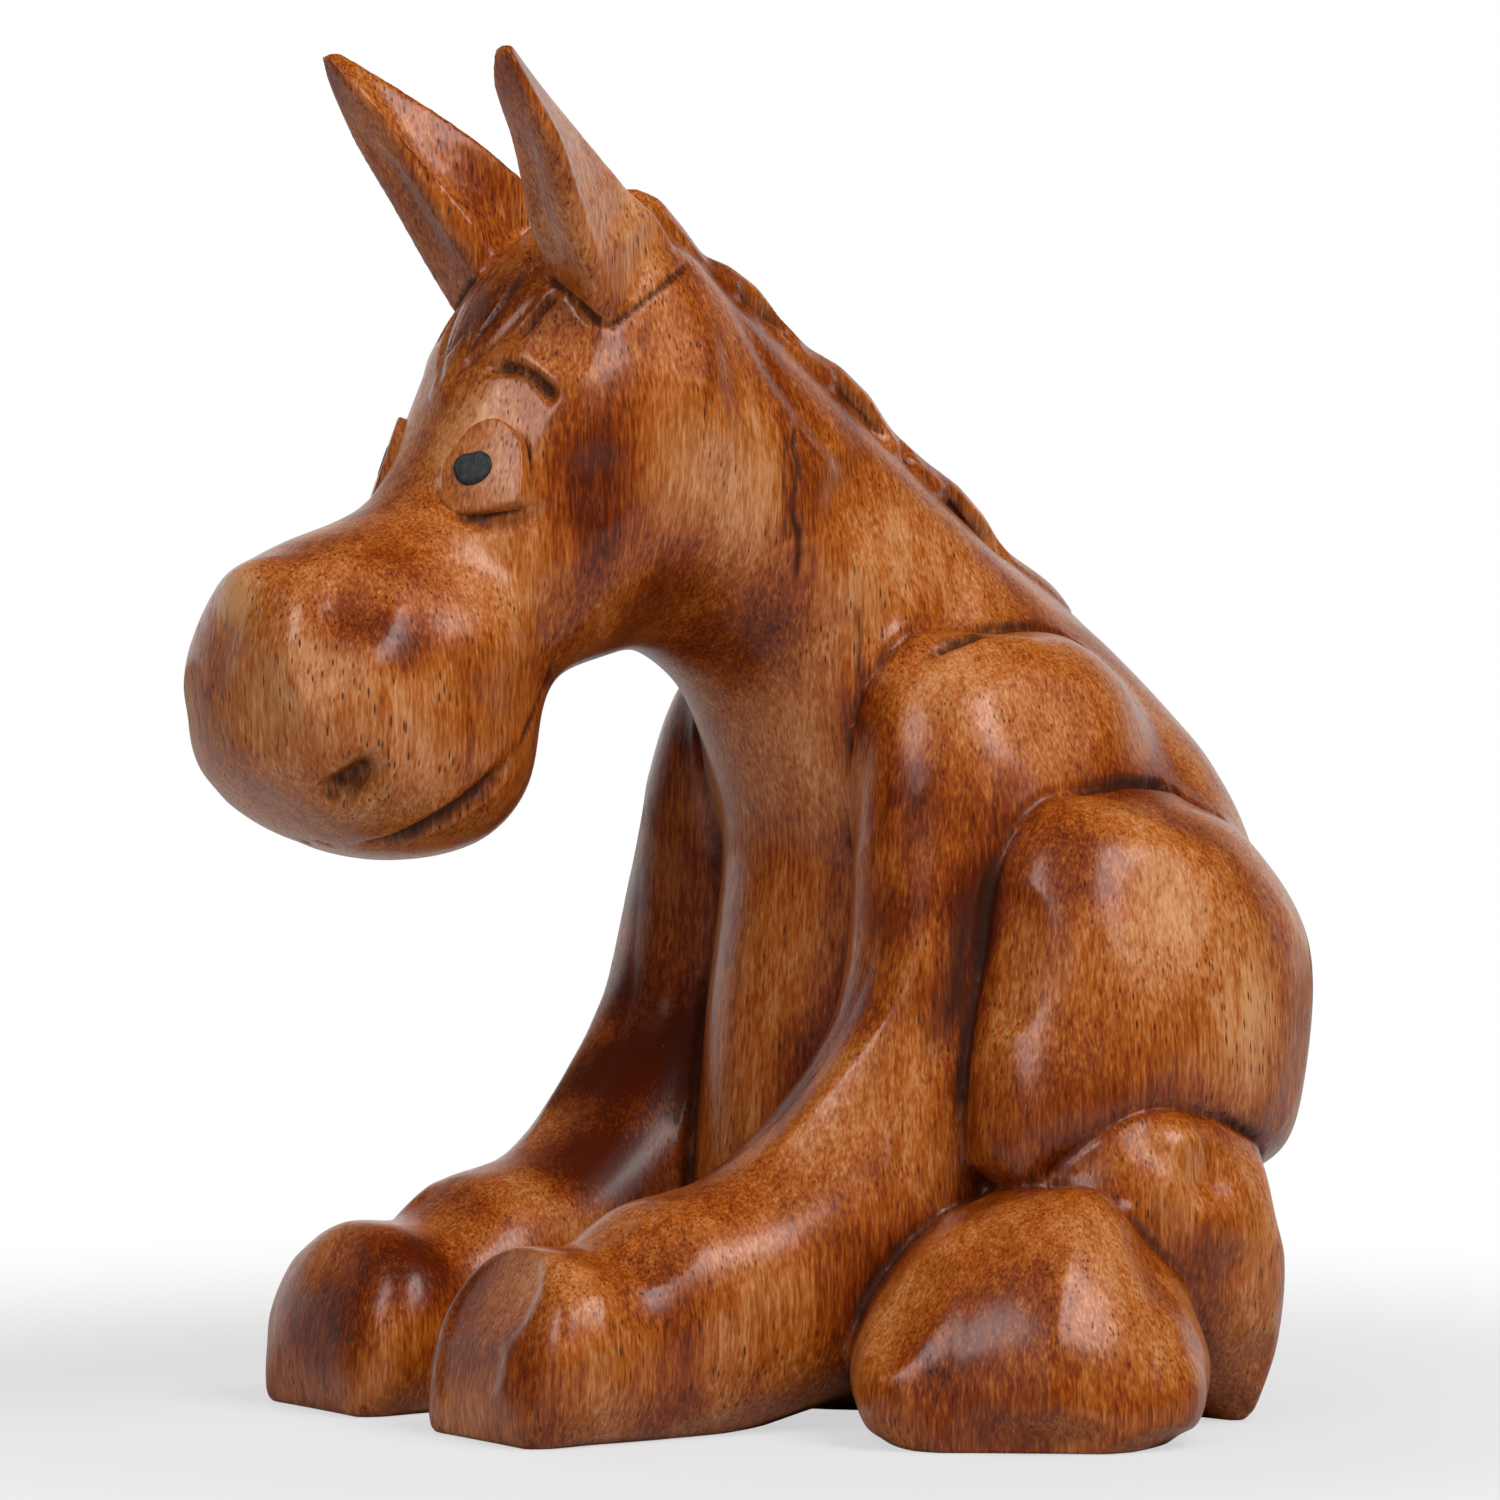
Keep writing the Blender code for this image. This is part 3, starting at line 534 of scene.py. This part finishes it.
    def tint(self, facet):
        """Paints shade round a place, or a highlight where the depth is below 0, into the wood's tone;
        a few marks are darker wood.
        """
        middle = self.at(facet.pixel)
        for side in SIDE_NAMES:
            near, far = self.around(middle * (side, 1, 1), facet.reach)
            self.tone[near] -= facet.depth * soft_step(1 - far / facet.reach)

    def knife_marks(self):
        """Leaves flat strokes of the knife on the marked blocks, well apart from each other."""
        dice = np.random.default_rng(MARK_SEED)
        wanted = np.flatnonzero(self.of_kind(*MARKED_BLOCKS))
        places = []
        for k in dice.permutation(wanted)[:MARK_TRIES]:
            point = self.points[k].copy()
            if places and np.min(np.sum((np.array(places) - point) ** 2, 1)) < MARK_SPACING**2:
                continue
            places.append(point)
            self.slice(point, dice.uniform(*MARK_REACH), dice.uniform(*MARK_DEPTH))

    def gouge(self, groove):
        """Cuts along a line of pixels, on both sides of the figure."""
        hits = [self.at(pixel) for pixel in smooth_route(groove.pixels, GROOVE_STEP)]
        route = np.array([hit for hit in hits if hit is not None])
        cut = np.zeros(len(self.points))
        for side in SIDE_NAMES:
            path = route * (side, 1, 1)
            if side == RIGHT:
                path[:, 1] += groove.far_back
            reach = groove.half_width * (1 + abs(groove.lean)) * STAIN_AND_SHADE_SPREAD
            low, high = path.min(0) - reach, path.max(0) + reach
            near = np.flatnonzero(((self.points > low) & (self.points < high)).all(1))
            away = self.points[near][:, None] - path[None]
            far = np.linalg.norm(away, axis=2)
            nearest = far.argmin(1)
            rows = np.arange(len(near))
            far, away = far[rows, nearest], away[rows, nearest]
            along = nearest / (len(path) - 1)
            ends = soft_step(np.minimum(along, 1 - along) / groove.taper + GROOVE_START)
            across = np.cross(np.gradient(path, axis=0)[nearest], self.facing[near])
            which = np.sign(side * (away * across).sum(1))
            width = groove.half_width * (1 + groove.lean * which)
            share = PROFILES[groove.shape](np.clip(1 - far / width, 0, 1))
            cut[near] = np.maximum(cut[near], share * ends)
            # Dark stain with painted shade in the groove's hollow
            dark = groove.stain * ends * np.clip(1 - far / (width * STAIN_AND_SHADE_SPREAD), 0, 1)
            self.stain[near] = np.maximum(self.stain[near], dark)
        self.points -= self.facing * (cut * groove.depth)[:, None]

    def near_seams(self, seams, reach):
        """The points within reach of a line of seam points, and how far each is from it."""
        tree = kd_tree(seams)
        low, high = seams.min(0) - reach, seams.max(0) + reach
        inside = np.flatnonzero(((self.points > low) & (self.points < high)).all(1))
        far = np.array([tree.find(point)[2] for point in self.points[inside].tolist()])
        return inside[far < reach], far[far < reach]

    def find_seams(self):
        """The lines where the blocks meet, by the way that each is cut."""
        a, b = self.edges[self.owner[self.edges[:, 0]] != self.owner[self.edges[:, 1]]].T
        middles = (self.points[a] + self.points[b]) / 2
        groups = {}
        for i, j, point in zip(self.owner[a], self.owner[b], middles):
            pair = tuple(sorted((kind_of(BLOCKS[i]), kind_of(BLOCKS[j]))))
            behind = point[1] > SMOOTH_BEHIND.get(pair, math.inf)
            groups.setdefault(NO_SEAM if behind else SEAMS[pair], []).append(point)
        for seam, line in groups.items():
            line = np.array(line)
            tree = kd_tree(line)
            groups[seam] = np.array(
                [np.mean([line[k] for _, k, _ in tree.find_range(p, SEAM_EVEN)], 0) for p in line]
            )
        return groups

    def blend_seams(self):
        """Smooths away the seams that don't show on the figure."""
        inside, far = self.near_seams(self.find_seams()[NO_SEAM], NO_SEAM.blend)
        share = np.zeros(len(self.points))
        share[inside] = soft_step(BLEND_RUN - far / NO_SEAM.blend)
        self.smooth(BLEND_ROUNDS, share)

    def cut_seams(self):
        """Cuts a V-groove along the seams that show."""
        groups = self.find_seams()
        del groups[NO_SEAM]
        self.facing = self.normals()
        for seam, line in groups.items():
            inside, far = self.near_seams(line, seam.half_width * STAIN_AND_SHADE_SPREAD)
            firm = hand_pressure(self.points[inside])
            vee = (firm * np.clip(1 - far / seam.half_width, 0, 1))[:, None]
            self.points[inside] -= self.facing[inside] * vee * seam.depth
            # Dark stain with painted shade along the seam
            dark = firm * seam.stain * np.clip(1 - far / (seam.half_width * STAIN_AND_SHADE_SPREAD), 0, 1)
            self.stain[inside] = np.maximum(self.stain[inside], dark)

    def shade_seams(self):
        """Darkens the wood softly towards the seams that show: painted shade beside their grooves."""
        shade = np.zeros(len(self.points))
        for seam, line in self.find_seams().items():
            if seam.stain:
                inside, far = self.near_seams(line, SHADE_REACH)
                firm = hand_pressure(self.points[inside])
                share = firm * seam.stain * (1 - far / SHADE_REACH) ** 2
                shade[inside] = np.maximum(shade[inside], share)
        self.tone -= SHADE_SHARE * shade


def hand_pressure(points):
    """How firmly the knife was pressed at each point, changing slowly along a cut."""
    across, along, up = points.T
    wave = np.sin(across / PRESS_ACROSS + up / PRESS_UP[0])
    wave *= np.sin(along / PRESS_ALONG - up / PRESS_UP[1] + PRESS_SHIFT)
    return PRESS_MEAN + PRESS_SWING * wave


def kd_tree(points):
    """Points sorted by place, for finding the nearest."""
    tree = KDTree(len(points))
    for k, point in enumerate(points):
        tree.insert(point, k)
    tree.balance()
    return tree


def smooth_route(marks, step):
    """A smooth curve through marks, with a point about every step."""
    marks = np.asarray(marks, float)
    before, after = 2 * marks[0] - marks[1], 2 * marks[-1] - marks[-2]
    row = np.vstack((before, marks, after))
    route = []
    for a, b, c, d in zip(row, row[1:], row[2:], row[3:]):
        count = max(2, int(np.linalg.norm(c - b) / step))
        for t in np.arange(count) / count:
            bend = (2 * a - 5 * b + 4 * c - d) * t**2 + (3 * b - a - 3 * c + d) * t**3
            route.append(b + ((c - a) * t + bend) / 2)
    return [*route, marks[-1]]


def kind_of(node):
    """A block's name without its side."""
    return node.removesuffix("_left").removesuffix("_right")


# Hidden faces of the joints, and the surface directions kept across them
WHOLE_NORMAL = "whole_normal"
RIM_SUNK = 1.2
MIDDLE_SUNK = 6.0


def part_blocks(carving):
    """Parts the carving along its seams, and closes each piece where it meets the others."""
    obj = carving.obj
    carving.store()
    for name, values in (("stain", carving.stain), ("tone", carving.tone)):
        layer = obj.data.attributes.new(name, "FLOAT", "POINT")
        layer.data.foreach_set("value", values.astype(np.float32))
    whole = obj.data.attributes.new(WHOLE_NORMAL, "FLOAT_VECTOR", "POINT")
    whole.data.foreach_set("vector", carving.normals().astype(np.float32).ravel())
    corners = numbers(obj.data.polygons, "vertices", 4, np.int32)
    owners = np.sort(carving.owner[corners], 1)[:, 1]
    for node in BLOCKS:
        obj.data.materials.append(bpy.data.materials.new(node))
    obj.data.polygons.foreach_set("material_index", owners.astype(np.int32))
    obj.data.update()
    bpy.context.view_layer.objects.active = obj
    obj.select_set(True)
    before = set(bpy.data.objects)
    bpy.ops.mesh.separate(type="MATERIAL")
    pieces = {}
    for piece in [obj, *(set(bpy.data.objects) - before)]:
        node = piece.data.materials[piece.data.polygons[0].material_index].name
        piece.name = node + "_carved"
        close_piece(piece)
        pieces[node] = piece
    return pieces


def close_piece(piece):
    """Draws each open rim together in its middle, which makes the hidden face of a joint."""
    bm = bmesh.new()
    bm.from_mesh(piece.data)
    facing = bm.verts.layers.float_vector[WHOLE_NORMAL]
    rims = {edge for edge in bm.edges if edge.is_boundary}
    while rims:
        rim, ends = [], [rims.pop()]
        while ends:
            edge = ends.pop()
            rim.append(edge)
            for other in {e for vert in edge.verts for e in vert.link_edges} & rims:
                rims.remove(other)
                ends.append(other)
        for edge in rim:
            edge.smooth = False
        made = bmesh.ops.extrude_edge_only(bm, edges=rim)["geom"]
        for item in made:
            if isinstance(item, bmesh.types.BMVert):
                item.co -= item[facing] * RIM_SUNK * MM
        rim = [item for item in made if isinstance(item, bmesh.types.BMEdge) and item.is_boundary]
        made = bmesh.ops.extrude_edge_only(bm, edges=rim)["geom"]
        verts = [item for item in made if isinstance(item, bmesh.types.BMVert)]
        deep = [vert.co - vert[facing] * MIDDLE_SUNK * MM for vert in verts]
        bmesh.ops.pointmerge(bm, verts=verts, merge_co=sum(deep, Vector()) / len(deep))
    bmesh.ops.recalc_face_normals(bm, faces=bm.faces)
    for face in bm.faces:
        face.smooth = True
        face.material_index = 0
    bm.to_mesh(piece.data)
    bm.free()
    whole = piece.data.attributes[WHOLE_NORMAL]
    piece.data.normals_split_custom_set_from_vertices(numbers(whole.data, "vector", 3).tolist())
    piece.data.attributes.remove(piece.data.attributes[WHOLE_NORMAL])


class Wire:
    """A value in a material. Arithmetic on it adds Math nodes."""

    def __init__(self, finish, socket):
        self.finish = finish
        self.socket = socket

    def math(self, operation, *values):
        sockets = dict(enumerate(values))
        return self.finish.node("Math", {"operation": operation}, sockets)

    def __add__(self, other):
        return self.math("ADD", self, other)

    def __sub__(self, other):
        return self.math("SUBTRACT", self, other)

    def __rsub__(self, other):
        return self.math("SUBTRACT", other, self)

    def __mul__(self, other):
        return self.math("MULTIPLY", self, other)

    __radd__ = __add__
    __rmul__ = __mul__

    def between(self, low, high):
        """0 where the value is low, 1 where it is high, and smooth between."""
        settings = {"interpolation_type": "SMOOTHSTEP", "clamp": True}
        return self.finish.node("MapRange", settings, {0: self, 1: low, 2: high})


class Finish:
    """A material that is built node by node."""

    def __init__(self, name):
        self.material = bpy.data.materials.new(name)
        self.material.use_nodes = True
        self.tree = self.material.node_tree
        self.shader = self.tree.nodes["Principled BSDF"]
        self.places = self.node("TexCoord", output="Object")

    @classmethod
    def of_world(cls, world):
        """The same tools on the world's nodes, whose places are directions."""
        room = cls.__new__(cls)
        room.tree = world.node_tree
        room.shader = room.tree.nodes["Background"]
        room.places = room.node("TexCoord", output="Generated")
        return room

    def node(self, kind, settings=None, sockets=None, output=0):
        node = self.tree.nodes.new("ShaderNode" + kind)
        for key, value in (settings or {}).items():
            if key == "stops":
                self.set_stops(node.color_ramp, value)
            else:
                setattr(node, key, value)
        for key, value in (sockets or {}).items():
            self.put(node.inputs[key], value)
        return Wire(self, node.outputs[output])

    def set_stops(self, ramp, stops):
        while len(ramp.elements) < len(stops):
            ramp.elements.new(1)
        for element, (at, colour) in zip(ramp.elements, stops):
            element.position = at
            element.color = (*colour, 1)

    def put(self, socket, value):
        if isinstance(value, Wire):
            self.tree.links.new(value.socket, socket)
        else:
            socket.default_value = value

    def dress(self, **values):
        """Sets sockets of the shader by name, with _ for a space."""
        for key, value in values.items():
            self.put(self.shader.inputs[key.replace("_", " ")], value)

    def stretched(self, size, shift=0.0):
        """Places measured in steps of a size (x, y, z) in millimetres."""
        scale = [1 / (step * MM) for step in size]
        return self.node(
            "Mapping", {}, {"Vector": self.places, "Scale": scale, "Location": (shift,) * 3}
        )

    def noise(self, size, shift=0.0, detail=2.0, roughness=0.5, distortion=0.0):
        sockets = {"Vector": self.stretched(size, shift), "Scale": 1, "Detail": detail}
        sockets |= {"Roughness": roughness, "Distortion": distortion}
        return self.node("TexNoise", {}, sockets)

    def mix(self, share, first, second):
        """Two colours mixed by a share of the second."""
        return self.node("Mix", {"data_type": "RGBA"}, {0: share, 6: first, 7: second}, 2)


# Colours of the wood, and the places (y at the nose, z at the crown) where its pores crowd
# Dark stain with painted shade for the grooves, and the brown of the pores
DARK_STAIN_AND_SHADE = (0.030, 0.006, 0.001, 1)
PORE_BROWN = (0.040, 0.008, 0.0015, 1)
PORE_NOSE = (-0.055, -0.030)
PORE_CROWN = (0.100, 0.115)
WOOD_TONES = (
    (0.0, (0.085, 0.010, 0.0003)),
    (0.30, (0.220, 0.037, 0.002)),
    (0.55, (0.385, 0.098, 0.010)),
    (1.0, (0.610, 0.285, 0.115)),
)


def wood_finish():
    """Stained hardwood under varnish, with upright grain."""
    wood = Finish("varnished_wood")
    figure = wood.noise((17, 17, 34), 3.1, 3, 0.55, 0.7)
    cloud = wood.noise((38, 38, 46), 7.7, 1)
    turned = {"Vector": wood.places, "Rotation": (0, 0.12, 0.9), "Scale": (26,) * 3}
    bands = {"Vector": wood.node("Mapping", {}, turned), "Scale": 1, "Distortion": 5}
    bands |= {"Detail": 2, "Detail Scale": 0.7}
    layers = wood.node("TexWave", {"wave_type": "BANDS", "bands_direction": "X"}, bands, "Fac")
    fibres = wood.noise((0.4, 0.4, 7), 1.3, 2)
    fleck = wood.noise((0.25, 0.25, 1.4), 5.2, 1)
    mottle = wood.noise((2.6, 2.6, 6), 2.7, 3, 0.6, 1.2)
    streaks = wood.noise((1.6, 1.6, 40), 6.1, 3)
    # The tone attribute carries painted shade and highlights and the painted shade beside the seams,
    # besides the wood's own tone
    painted = wood.node("Attribute", {"attribute_name": "tone"}, output="Fac")
    tone = painted * (0.35 + mottle * 0.7 + figure * 0.6) + 0.50
    tone += (figure - 0.5) * 0.7 + (cloud - 0.5) * 0.5 + (streaks - 0.5) * 0.35
    tone += (layers - 0.5) * 0.16 + (mottle - 0.5) * 0.5
    tone += (fibres - 0.5) * 0.7 + (fleck - 0.5) * 0.65
    colour = wood.node("ValToRGB", {"stops": WOOD_TONES}, {0: tone})

    pore_places = wood.stretched((0.55, 0.55, 3.2), 2.2)
    pore_far = wood.node("TexVoronoi", {}, {"Vector": pore_places, "Scale": 1}, "Distance")
    pore_tint = wood.node("TexVoronoi", {}, {"Vector": pore_places, "Scale": 1}, "Color")
    nose = 1 - wood.node("SeparateXYZ", {}, {0: wood.places}, "Y").between(*PORE_NOSE)
    crown = wood.node("SeparateXYZ", {}, {0: wood.places}, "Z").between(*PORE_CROWN)
    crowd = wood.noise((9, 9, 16), 9.4, 2) + (nose + crown) * 0.15
    deep = wood.node("SeparateColor", {}, {0: pore_tint}).between(0.05, 0.5)
    pores = (1 - pore_far.between(0.12, 0.28)) * deep * crowd.between(0.38, 0.60)
    colour = wood.mix(pores * 0.88, colour, PORE_BROWN)

    # The stain attribute: dark stain in the cuts, with painted shade
    stain = wood.node("Attribute", {"attribute_name": "stain"}, output="Fac")
    worn = wood.noise((2.5, 2.5, 5), 4.4, 2)
    fringe = wood.noise((0.7, 0.7, 5), 8.3, 2)
    dark = (stain * (worn * 1.3 + fringe * 1.3 - 0.3)).between(0.12, 0.95)
    colour = wood.mix(dark * 0.88, colour, DARK_STAIN_AND_SHADE)

    hewn = wood.noise((3.6, 3.6, 6), 11.3, 2)
    height = hewn * 0.5 + fibres * 0.14 + fleck * 0.12 - pores * 0.6
    bump = wood.node("Bump", {}, {"Strength": 0.5, "Distance": 0.0003, "Height": height})
    rough = 0.25 + figure * 0.08 + pores * 0.2 + dark * 0.35
    wood.dress(Base_Color=colour, Roughness=rough, Normal=bump, Coat_Weight=0.4 - dark * 0.4)
    wood.dress(Coat_Roughness=0.20, Coat_IOR=1.5, Specular_IOR_Level=0.22)
    return wood.material


def pupil_finish():
    """Matt black paint, thin at its high spots."""
    black = Finish("black_paint")
    streaks = black.noise((0.5, 0.5, 0.8), 0, 3)
    tint = black.mix(streaks.between(0.4, 0.75), (0.010, 0.011, 0.013, 1), (0.035, 0.037, 0.042, 1))
    bump = black.node("Bump", {}, {"Strength": 0.4, "Distance": 0.0002, "Height": streaks})
    black.dress(Base_Color=tint, Roughness=0.45 + streaks * 0.2, Normal=bump)
    return black.material


def dowel_finish():
    """Bare pale wood with grain along the stick."""
    pale = Finish("dowel_wood")
    grain = pale.noise((0.6, 0.6, 0.6), 0, 3, 0.6)
    tint = pale.mix(grain, (0.42, 0.27, 0.13, 1), (0.62, 0.45, 0.26, 1))
    bump = pale.node("Bump", {}, {"Strength": 0.3, "Distance": 0.0002, "Height": grain})
    pale.dress(Base_Color=tint, Roughness=0.6 + grain * 0.2, Normal=bump)
    return pale.material


# Eyes: a flat pad whose outline was cut by hand, and a black pupil on it
EYE_MIDDLE = (487, 468)
EYE_OUTLINE = (
    *((445, 502), (447, 468), (460, 448), (477, 428), (499, 421), (516, 431)),
    *((526, 452), (524, 497), (511, 507), (468, 517), (453, 512)),
)
EYE_TILT = 0.12
EYE_HIGH, EYE_EDGE, EYE_DEEP = 1.1, 0.3, 2.4
PUPIL_OUTLINE = (
    *((458, 474), (460, 464), (467, 458), (476, 456), (486, 454), (495, 460)),
    *((497, 470), (492, 480), (482, 487), (471, 489), (462, 484)),
)
PUPIL_HIGH = {LEFT: 1.5, RIGHT: 1.2}
PUPIL_EDGE = 0.5
FAR_PUPIL_BACK = 2.0
OUTLINE_STEP = 3
SEAT_REACH = 5
EDGE_STEPS = 4
CREASE = 0.6


def outlined(name, route, look, high, edge, side, shift):
    """A pad with a soft upper edge, raised from an outline on the face, for one side of the head."""
    bm = bmesh.new()
    verts = [bm.verts.new(point - look * EYE_DEEP) for point in route]
    pad = bm.faces.new(verts)
    raised = bmesh.ops.extrude_face_region(bm, geom=[pad])["geom"]
    top = [item for item in raised if isinstance(item, bmesh.types.BMVert)]
    bmesh.ops.translate(bm, verts=top, vec=look * (EYE_DEEP + high))
    rim = [item for item in raised if isinstance(item, bmesh.types.BMEdge)]
    bmesh.ops.bevel(
        bm, geom=rim, offset=edge, segments=EDGE_STEPS, profile=0.5, affect="EDGES", material=-1
    )
    bmesh.ops.translate(bm, verts=bm.verts, vec=shift)
    bmesh.ops.scale(bm, vec=(side * MM, MM, MM), verts=bm.verts)
    bmesh.ops.triangulate(bm, faces=[face for face in bm.faces if len(face.verts) > 4])
    bmesh.ops.recalc_face_normals(bm, faces=bm.faces)
    for face in bm.faces:
        face.smooth = True
    for line in bm.edges:
        line.smooth = line.calc_face_angle(0) < CREASE
    return new_object(name, bm)


def make_eyes(carving, wood, black):
    """Both eye pads and pupils, on one plane that lies on the near side of the face."""
    tree = BVHTree.FromObject(carving.obj, bpy.context.evaluated_depsgraph_get())
    seat = tree.ray_cast(CAMERA * MM, pixel_ray(*EYE_MIDDLE))[0] / MM
    near = np.linalg.norm(carving.points - np.array(seat), axis=1) < SEAT_REACH
    look = Vector(carving.normals()[near].mean(0)) - TO_RIGHT * EYE_TILT
    look.normalize()

    def on_pad(pixels):
        """An outline of pixels on the plane of the pad, evened to many small steps."""
        route = smooth_route([*pixels, pixels[0]], OUTLINE_STEP)[:-1]
        rays = [pixel_ray(*pixel) for pixel in route]
        return [CAMERA + ray * ((seat - CAMERA).dot(look) / ray.dot(look)) for ray in rays]

    pieces = {}
    for side, name in SIDE_NAMES.items():
        back = Vector((0, FAR_PUPIL_BACK if side == RIGHT else 0, 0))
        back -= look * back.dot(look)
        pad, dot = on_pad(EYE_OUTLINE), on_pad(PUPIL_OUTLINE)
        eye = outlined("eye_" + name + "_carved", pad, look, EYE_HIGH, EYE_EDGE, side, Vector())
        pupil = outlined(
            "pupil_" + name + "_painted", dot, look, PUPIL_HIGH[side], PUPIL_EDGE, side, back
        )
        eye.data.materials.append(wood)
        pupil.data.materials.append(black)
        pieces["eye_" + name] = eye
        pieces["pupil_" + name] = pupil
    return pieces


def make_camera():
    """The camera of the photograph."""
    data = bpy.data.cameras.new("photo_camera")
    data.sensor_width = SENSOR
    data.lens = SENSOR * (AIM - CAMERA).length / VIEW_WIDTH
    camera = bpy.data.objects.new("photo_camera", data)
    camera.location = CAMERA * MM
    camera.rotation_euler = (AIM - CAMERA).to_track_quat("-Z", "Y").to_euler()
    bpy.context.scene.collection.objects.link(camera)
    bpy.context.scene.camera = camera


# Floor: its grey, how much of the white shows on it, and the distances (m) at which it turns white
FLOOR_HALF = 4
FLOOR_GREY = (0.5, 0.5, 0.5, 1)
FLOOR_WHITE = 0.6
WHITENS = (0.07, 0.20)


def make_floor():
    """A pale floor that keeps the shadow near the horse and turns white further off."""
    bm = bmesh.new()
    bmesh.ops.create_grid(bm, x_segments=1, y_segments=1, size=FLOOR_HALF)
    floor = new_object("floor", bm)
    pale = Finish("pale_floor")
    far = pale.node("VectorMath", {"operation": "LENGTH"}, {0: pale.places}, "Value")
    white = pale.node("Emission", {}, {"Color": (1, 1, 1, 1), "Strength": 1})
    pale.dress(Base_Color=FLOOR_GREY, Roughness=0.9, Specular_IOR_Level=0.1)
    seen = pale.node("LightPath", output="Is Camera Ray")
    share = (FLOOR_WHITE + far.between(*WHITENS) * (1 - FLOOR_WHITE)) * seen
    grey = Wire(pale, pale.shader.outputs[0])
    both = pale.node("MixShader", {}, {0: share, 1: grey, 2: white})
    pale.put(pale.tree.nodes["Material Output"].inputs["Surface"], both)
    floor.data.materials.append(pale.material)


# Light: the room, what the varnish mirrors of it and of the backdrop, and lamps placed from the camera
ROOM_LEVEL = 0.10
ROOM_MIRRORED, BACKDROP_MIRRORED = 0.03, 0.8
BACKDROP_WAY, BACKDROP_UP = (0.2, 0.7), (0.15, 0.55)
Lamp = namedtuple("Lamp", "name right front up size power shines")
LAMPS = (
    Lamp("key", 560, 420, 850, 700, 9.1, False),
    Lamp("top", -40, 380, 760, 800, 1.3, False),
    Lamp("front", -450, 800, 450, 700, 2.9, False),
    Lamp("back", -300, -650, 600, 700, 3.0, False),
    Lamp("shine_right", 500, 560, 750, 540, 4.0, True),
    Lamp("shine_left", -600, 560, 700, 440, 2.4, True),
)


def make_light():
    """A white backdrop low behind the horse, a dim room round it, and soft lamps."""
    world = bpy.data.worlds.new("white_room")
    bpy.context.scene.world = world
    world.use_nodes = True
    room = Finish.of_world(world)
    way = room.node("VectorMath", {"operation": "DOT_PRODUCT"}, {0: room.places, 1: TO_CAMERA}, "Value")
    up = room.node("SeparateXYZ", {}, {0: room.places}, "Z")
    backdrop = (0 - way).between(*BACKDROP_WAY) * (1 - up.between(*BACKDROP_UP))
    camera = room.node("LightPath", output="Is Camera Ray")
    glossy = room.node("LightPath", output="Is Glossy Ray")
    clear = room.node("LightPath", output="Is Transmission Ray")
    seen = camera.math("MAXIMUM", camera, clear)
    mirrored = ROOM_MIRRORED + backdrop * BACKDROP_MIRRORED
    level = glossy * mirrored + (1 - glossy) * ROOM_LEVEL
    room.put(room.shader.inputs["Color"], (1, 1, 1, 1))
    room.put(room.shader.inputs["Strength"], seen + (1 - seen) * level)
    for lamp in LAMPS:
        data = bpy.data.lights.new(lamp.name, "AREA")
        data.shape = "DISK"
        data.size = lamp.size * MM
        data.energy = lamp.power
        obj = bpy.data.objects.new(lamp.name, data)
        place = MIDDLE + TO_RIGHT * lamp.right + TO_CAMERA * lamp.front + Vector((0, 0, lamp.up))
        obj.location = place * MM
        obj.rotation_euler = (AIM - place).to_track_quat("-Z", "Y").to_euler()
        obj.visible_glossy = lamp.shines
        obj.visible_diffuse = not lamp.shines
        bpy.context.scene.collection.objects.link(obj)


def main():
    """Sets the stage, carves the figure and hands its pieces to the frame."""
    bpy.context.scene.view_settings.view_transform = "Standard"
    make_camera()
    make_light()
    make_floor()

    carving = Carving(weld_blocks())
    drawn = carving.points.copy()
    spared = carving.crispness()
    carving.smooth(FINE_ROUNDS)
    carving.smooth(BASE_ROUNDS - FINE_ROUNDS, 1 - spared)
    carving.blend_seams()
    carving.refill(drawn)
    carving.look()
    carving.knife_marks()
    for mound in MOUNDS:
        carving.swell(mound)
    for groove in SOFT_GROOVES:
        carving.gouge(groove)
    carving.facing = carving.normals()
    for facet in FACETS:
        carving.pare(facet)
    carving.shade_seams()
    carving.cut_seams()
    carving.facing = carving.normals()
    for groove in CUTS:
        carving.gouge(groove)
    # Painted shade and highlights, into the tone
    for tint in SHADE_HIGHLIGHT_AND_TONE_MARKS:
        carving.tint(tint)
    carving.smooth(1)
    carving.stand()

    wood, black, pale = wood_finish(), pupil_finish(), dowel_finish()
    eyes = make_eyes(carving, wood, black)
    pieces = part_blocks(carving)
    for piece in pieces.values():
        piece.data.materials.clear()
        piece.data.materials.append(wood)
    for node, piece in (pieces | eyes).items():
        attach(piece, "root")
        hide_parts(node)
    for node, obj in frame["nodes"].items():
        if "dowel" in node:
            obj.data.materials.clear()
            obj.data.materials.append(pale)


main()
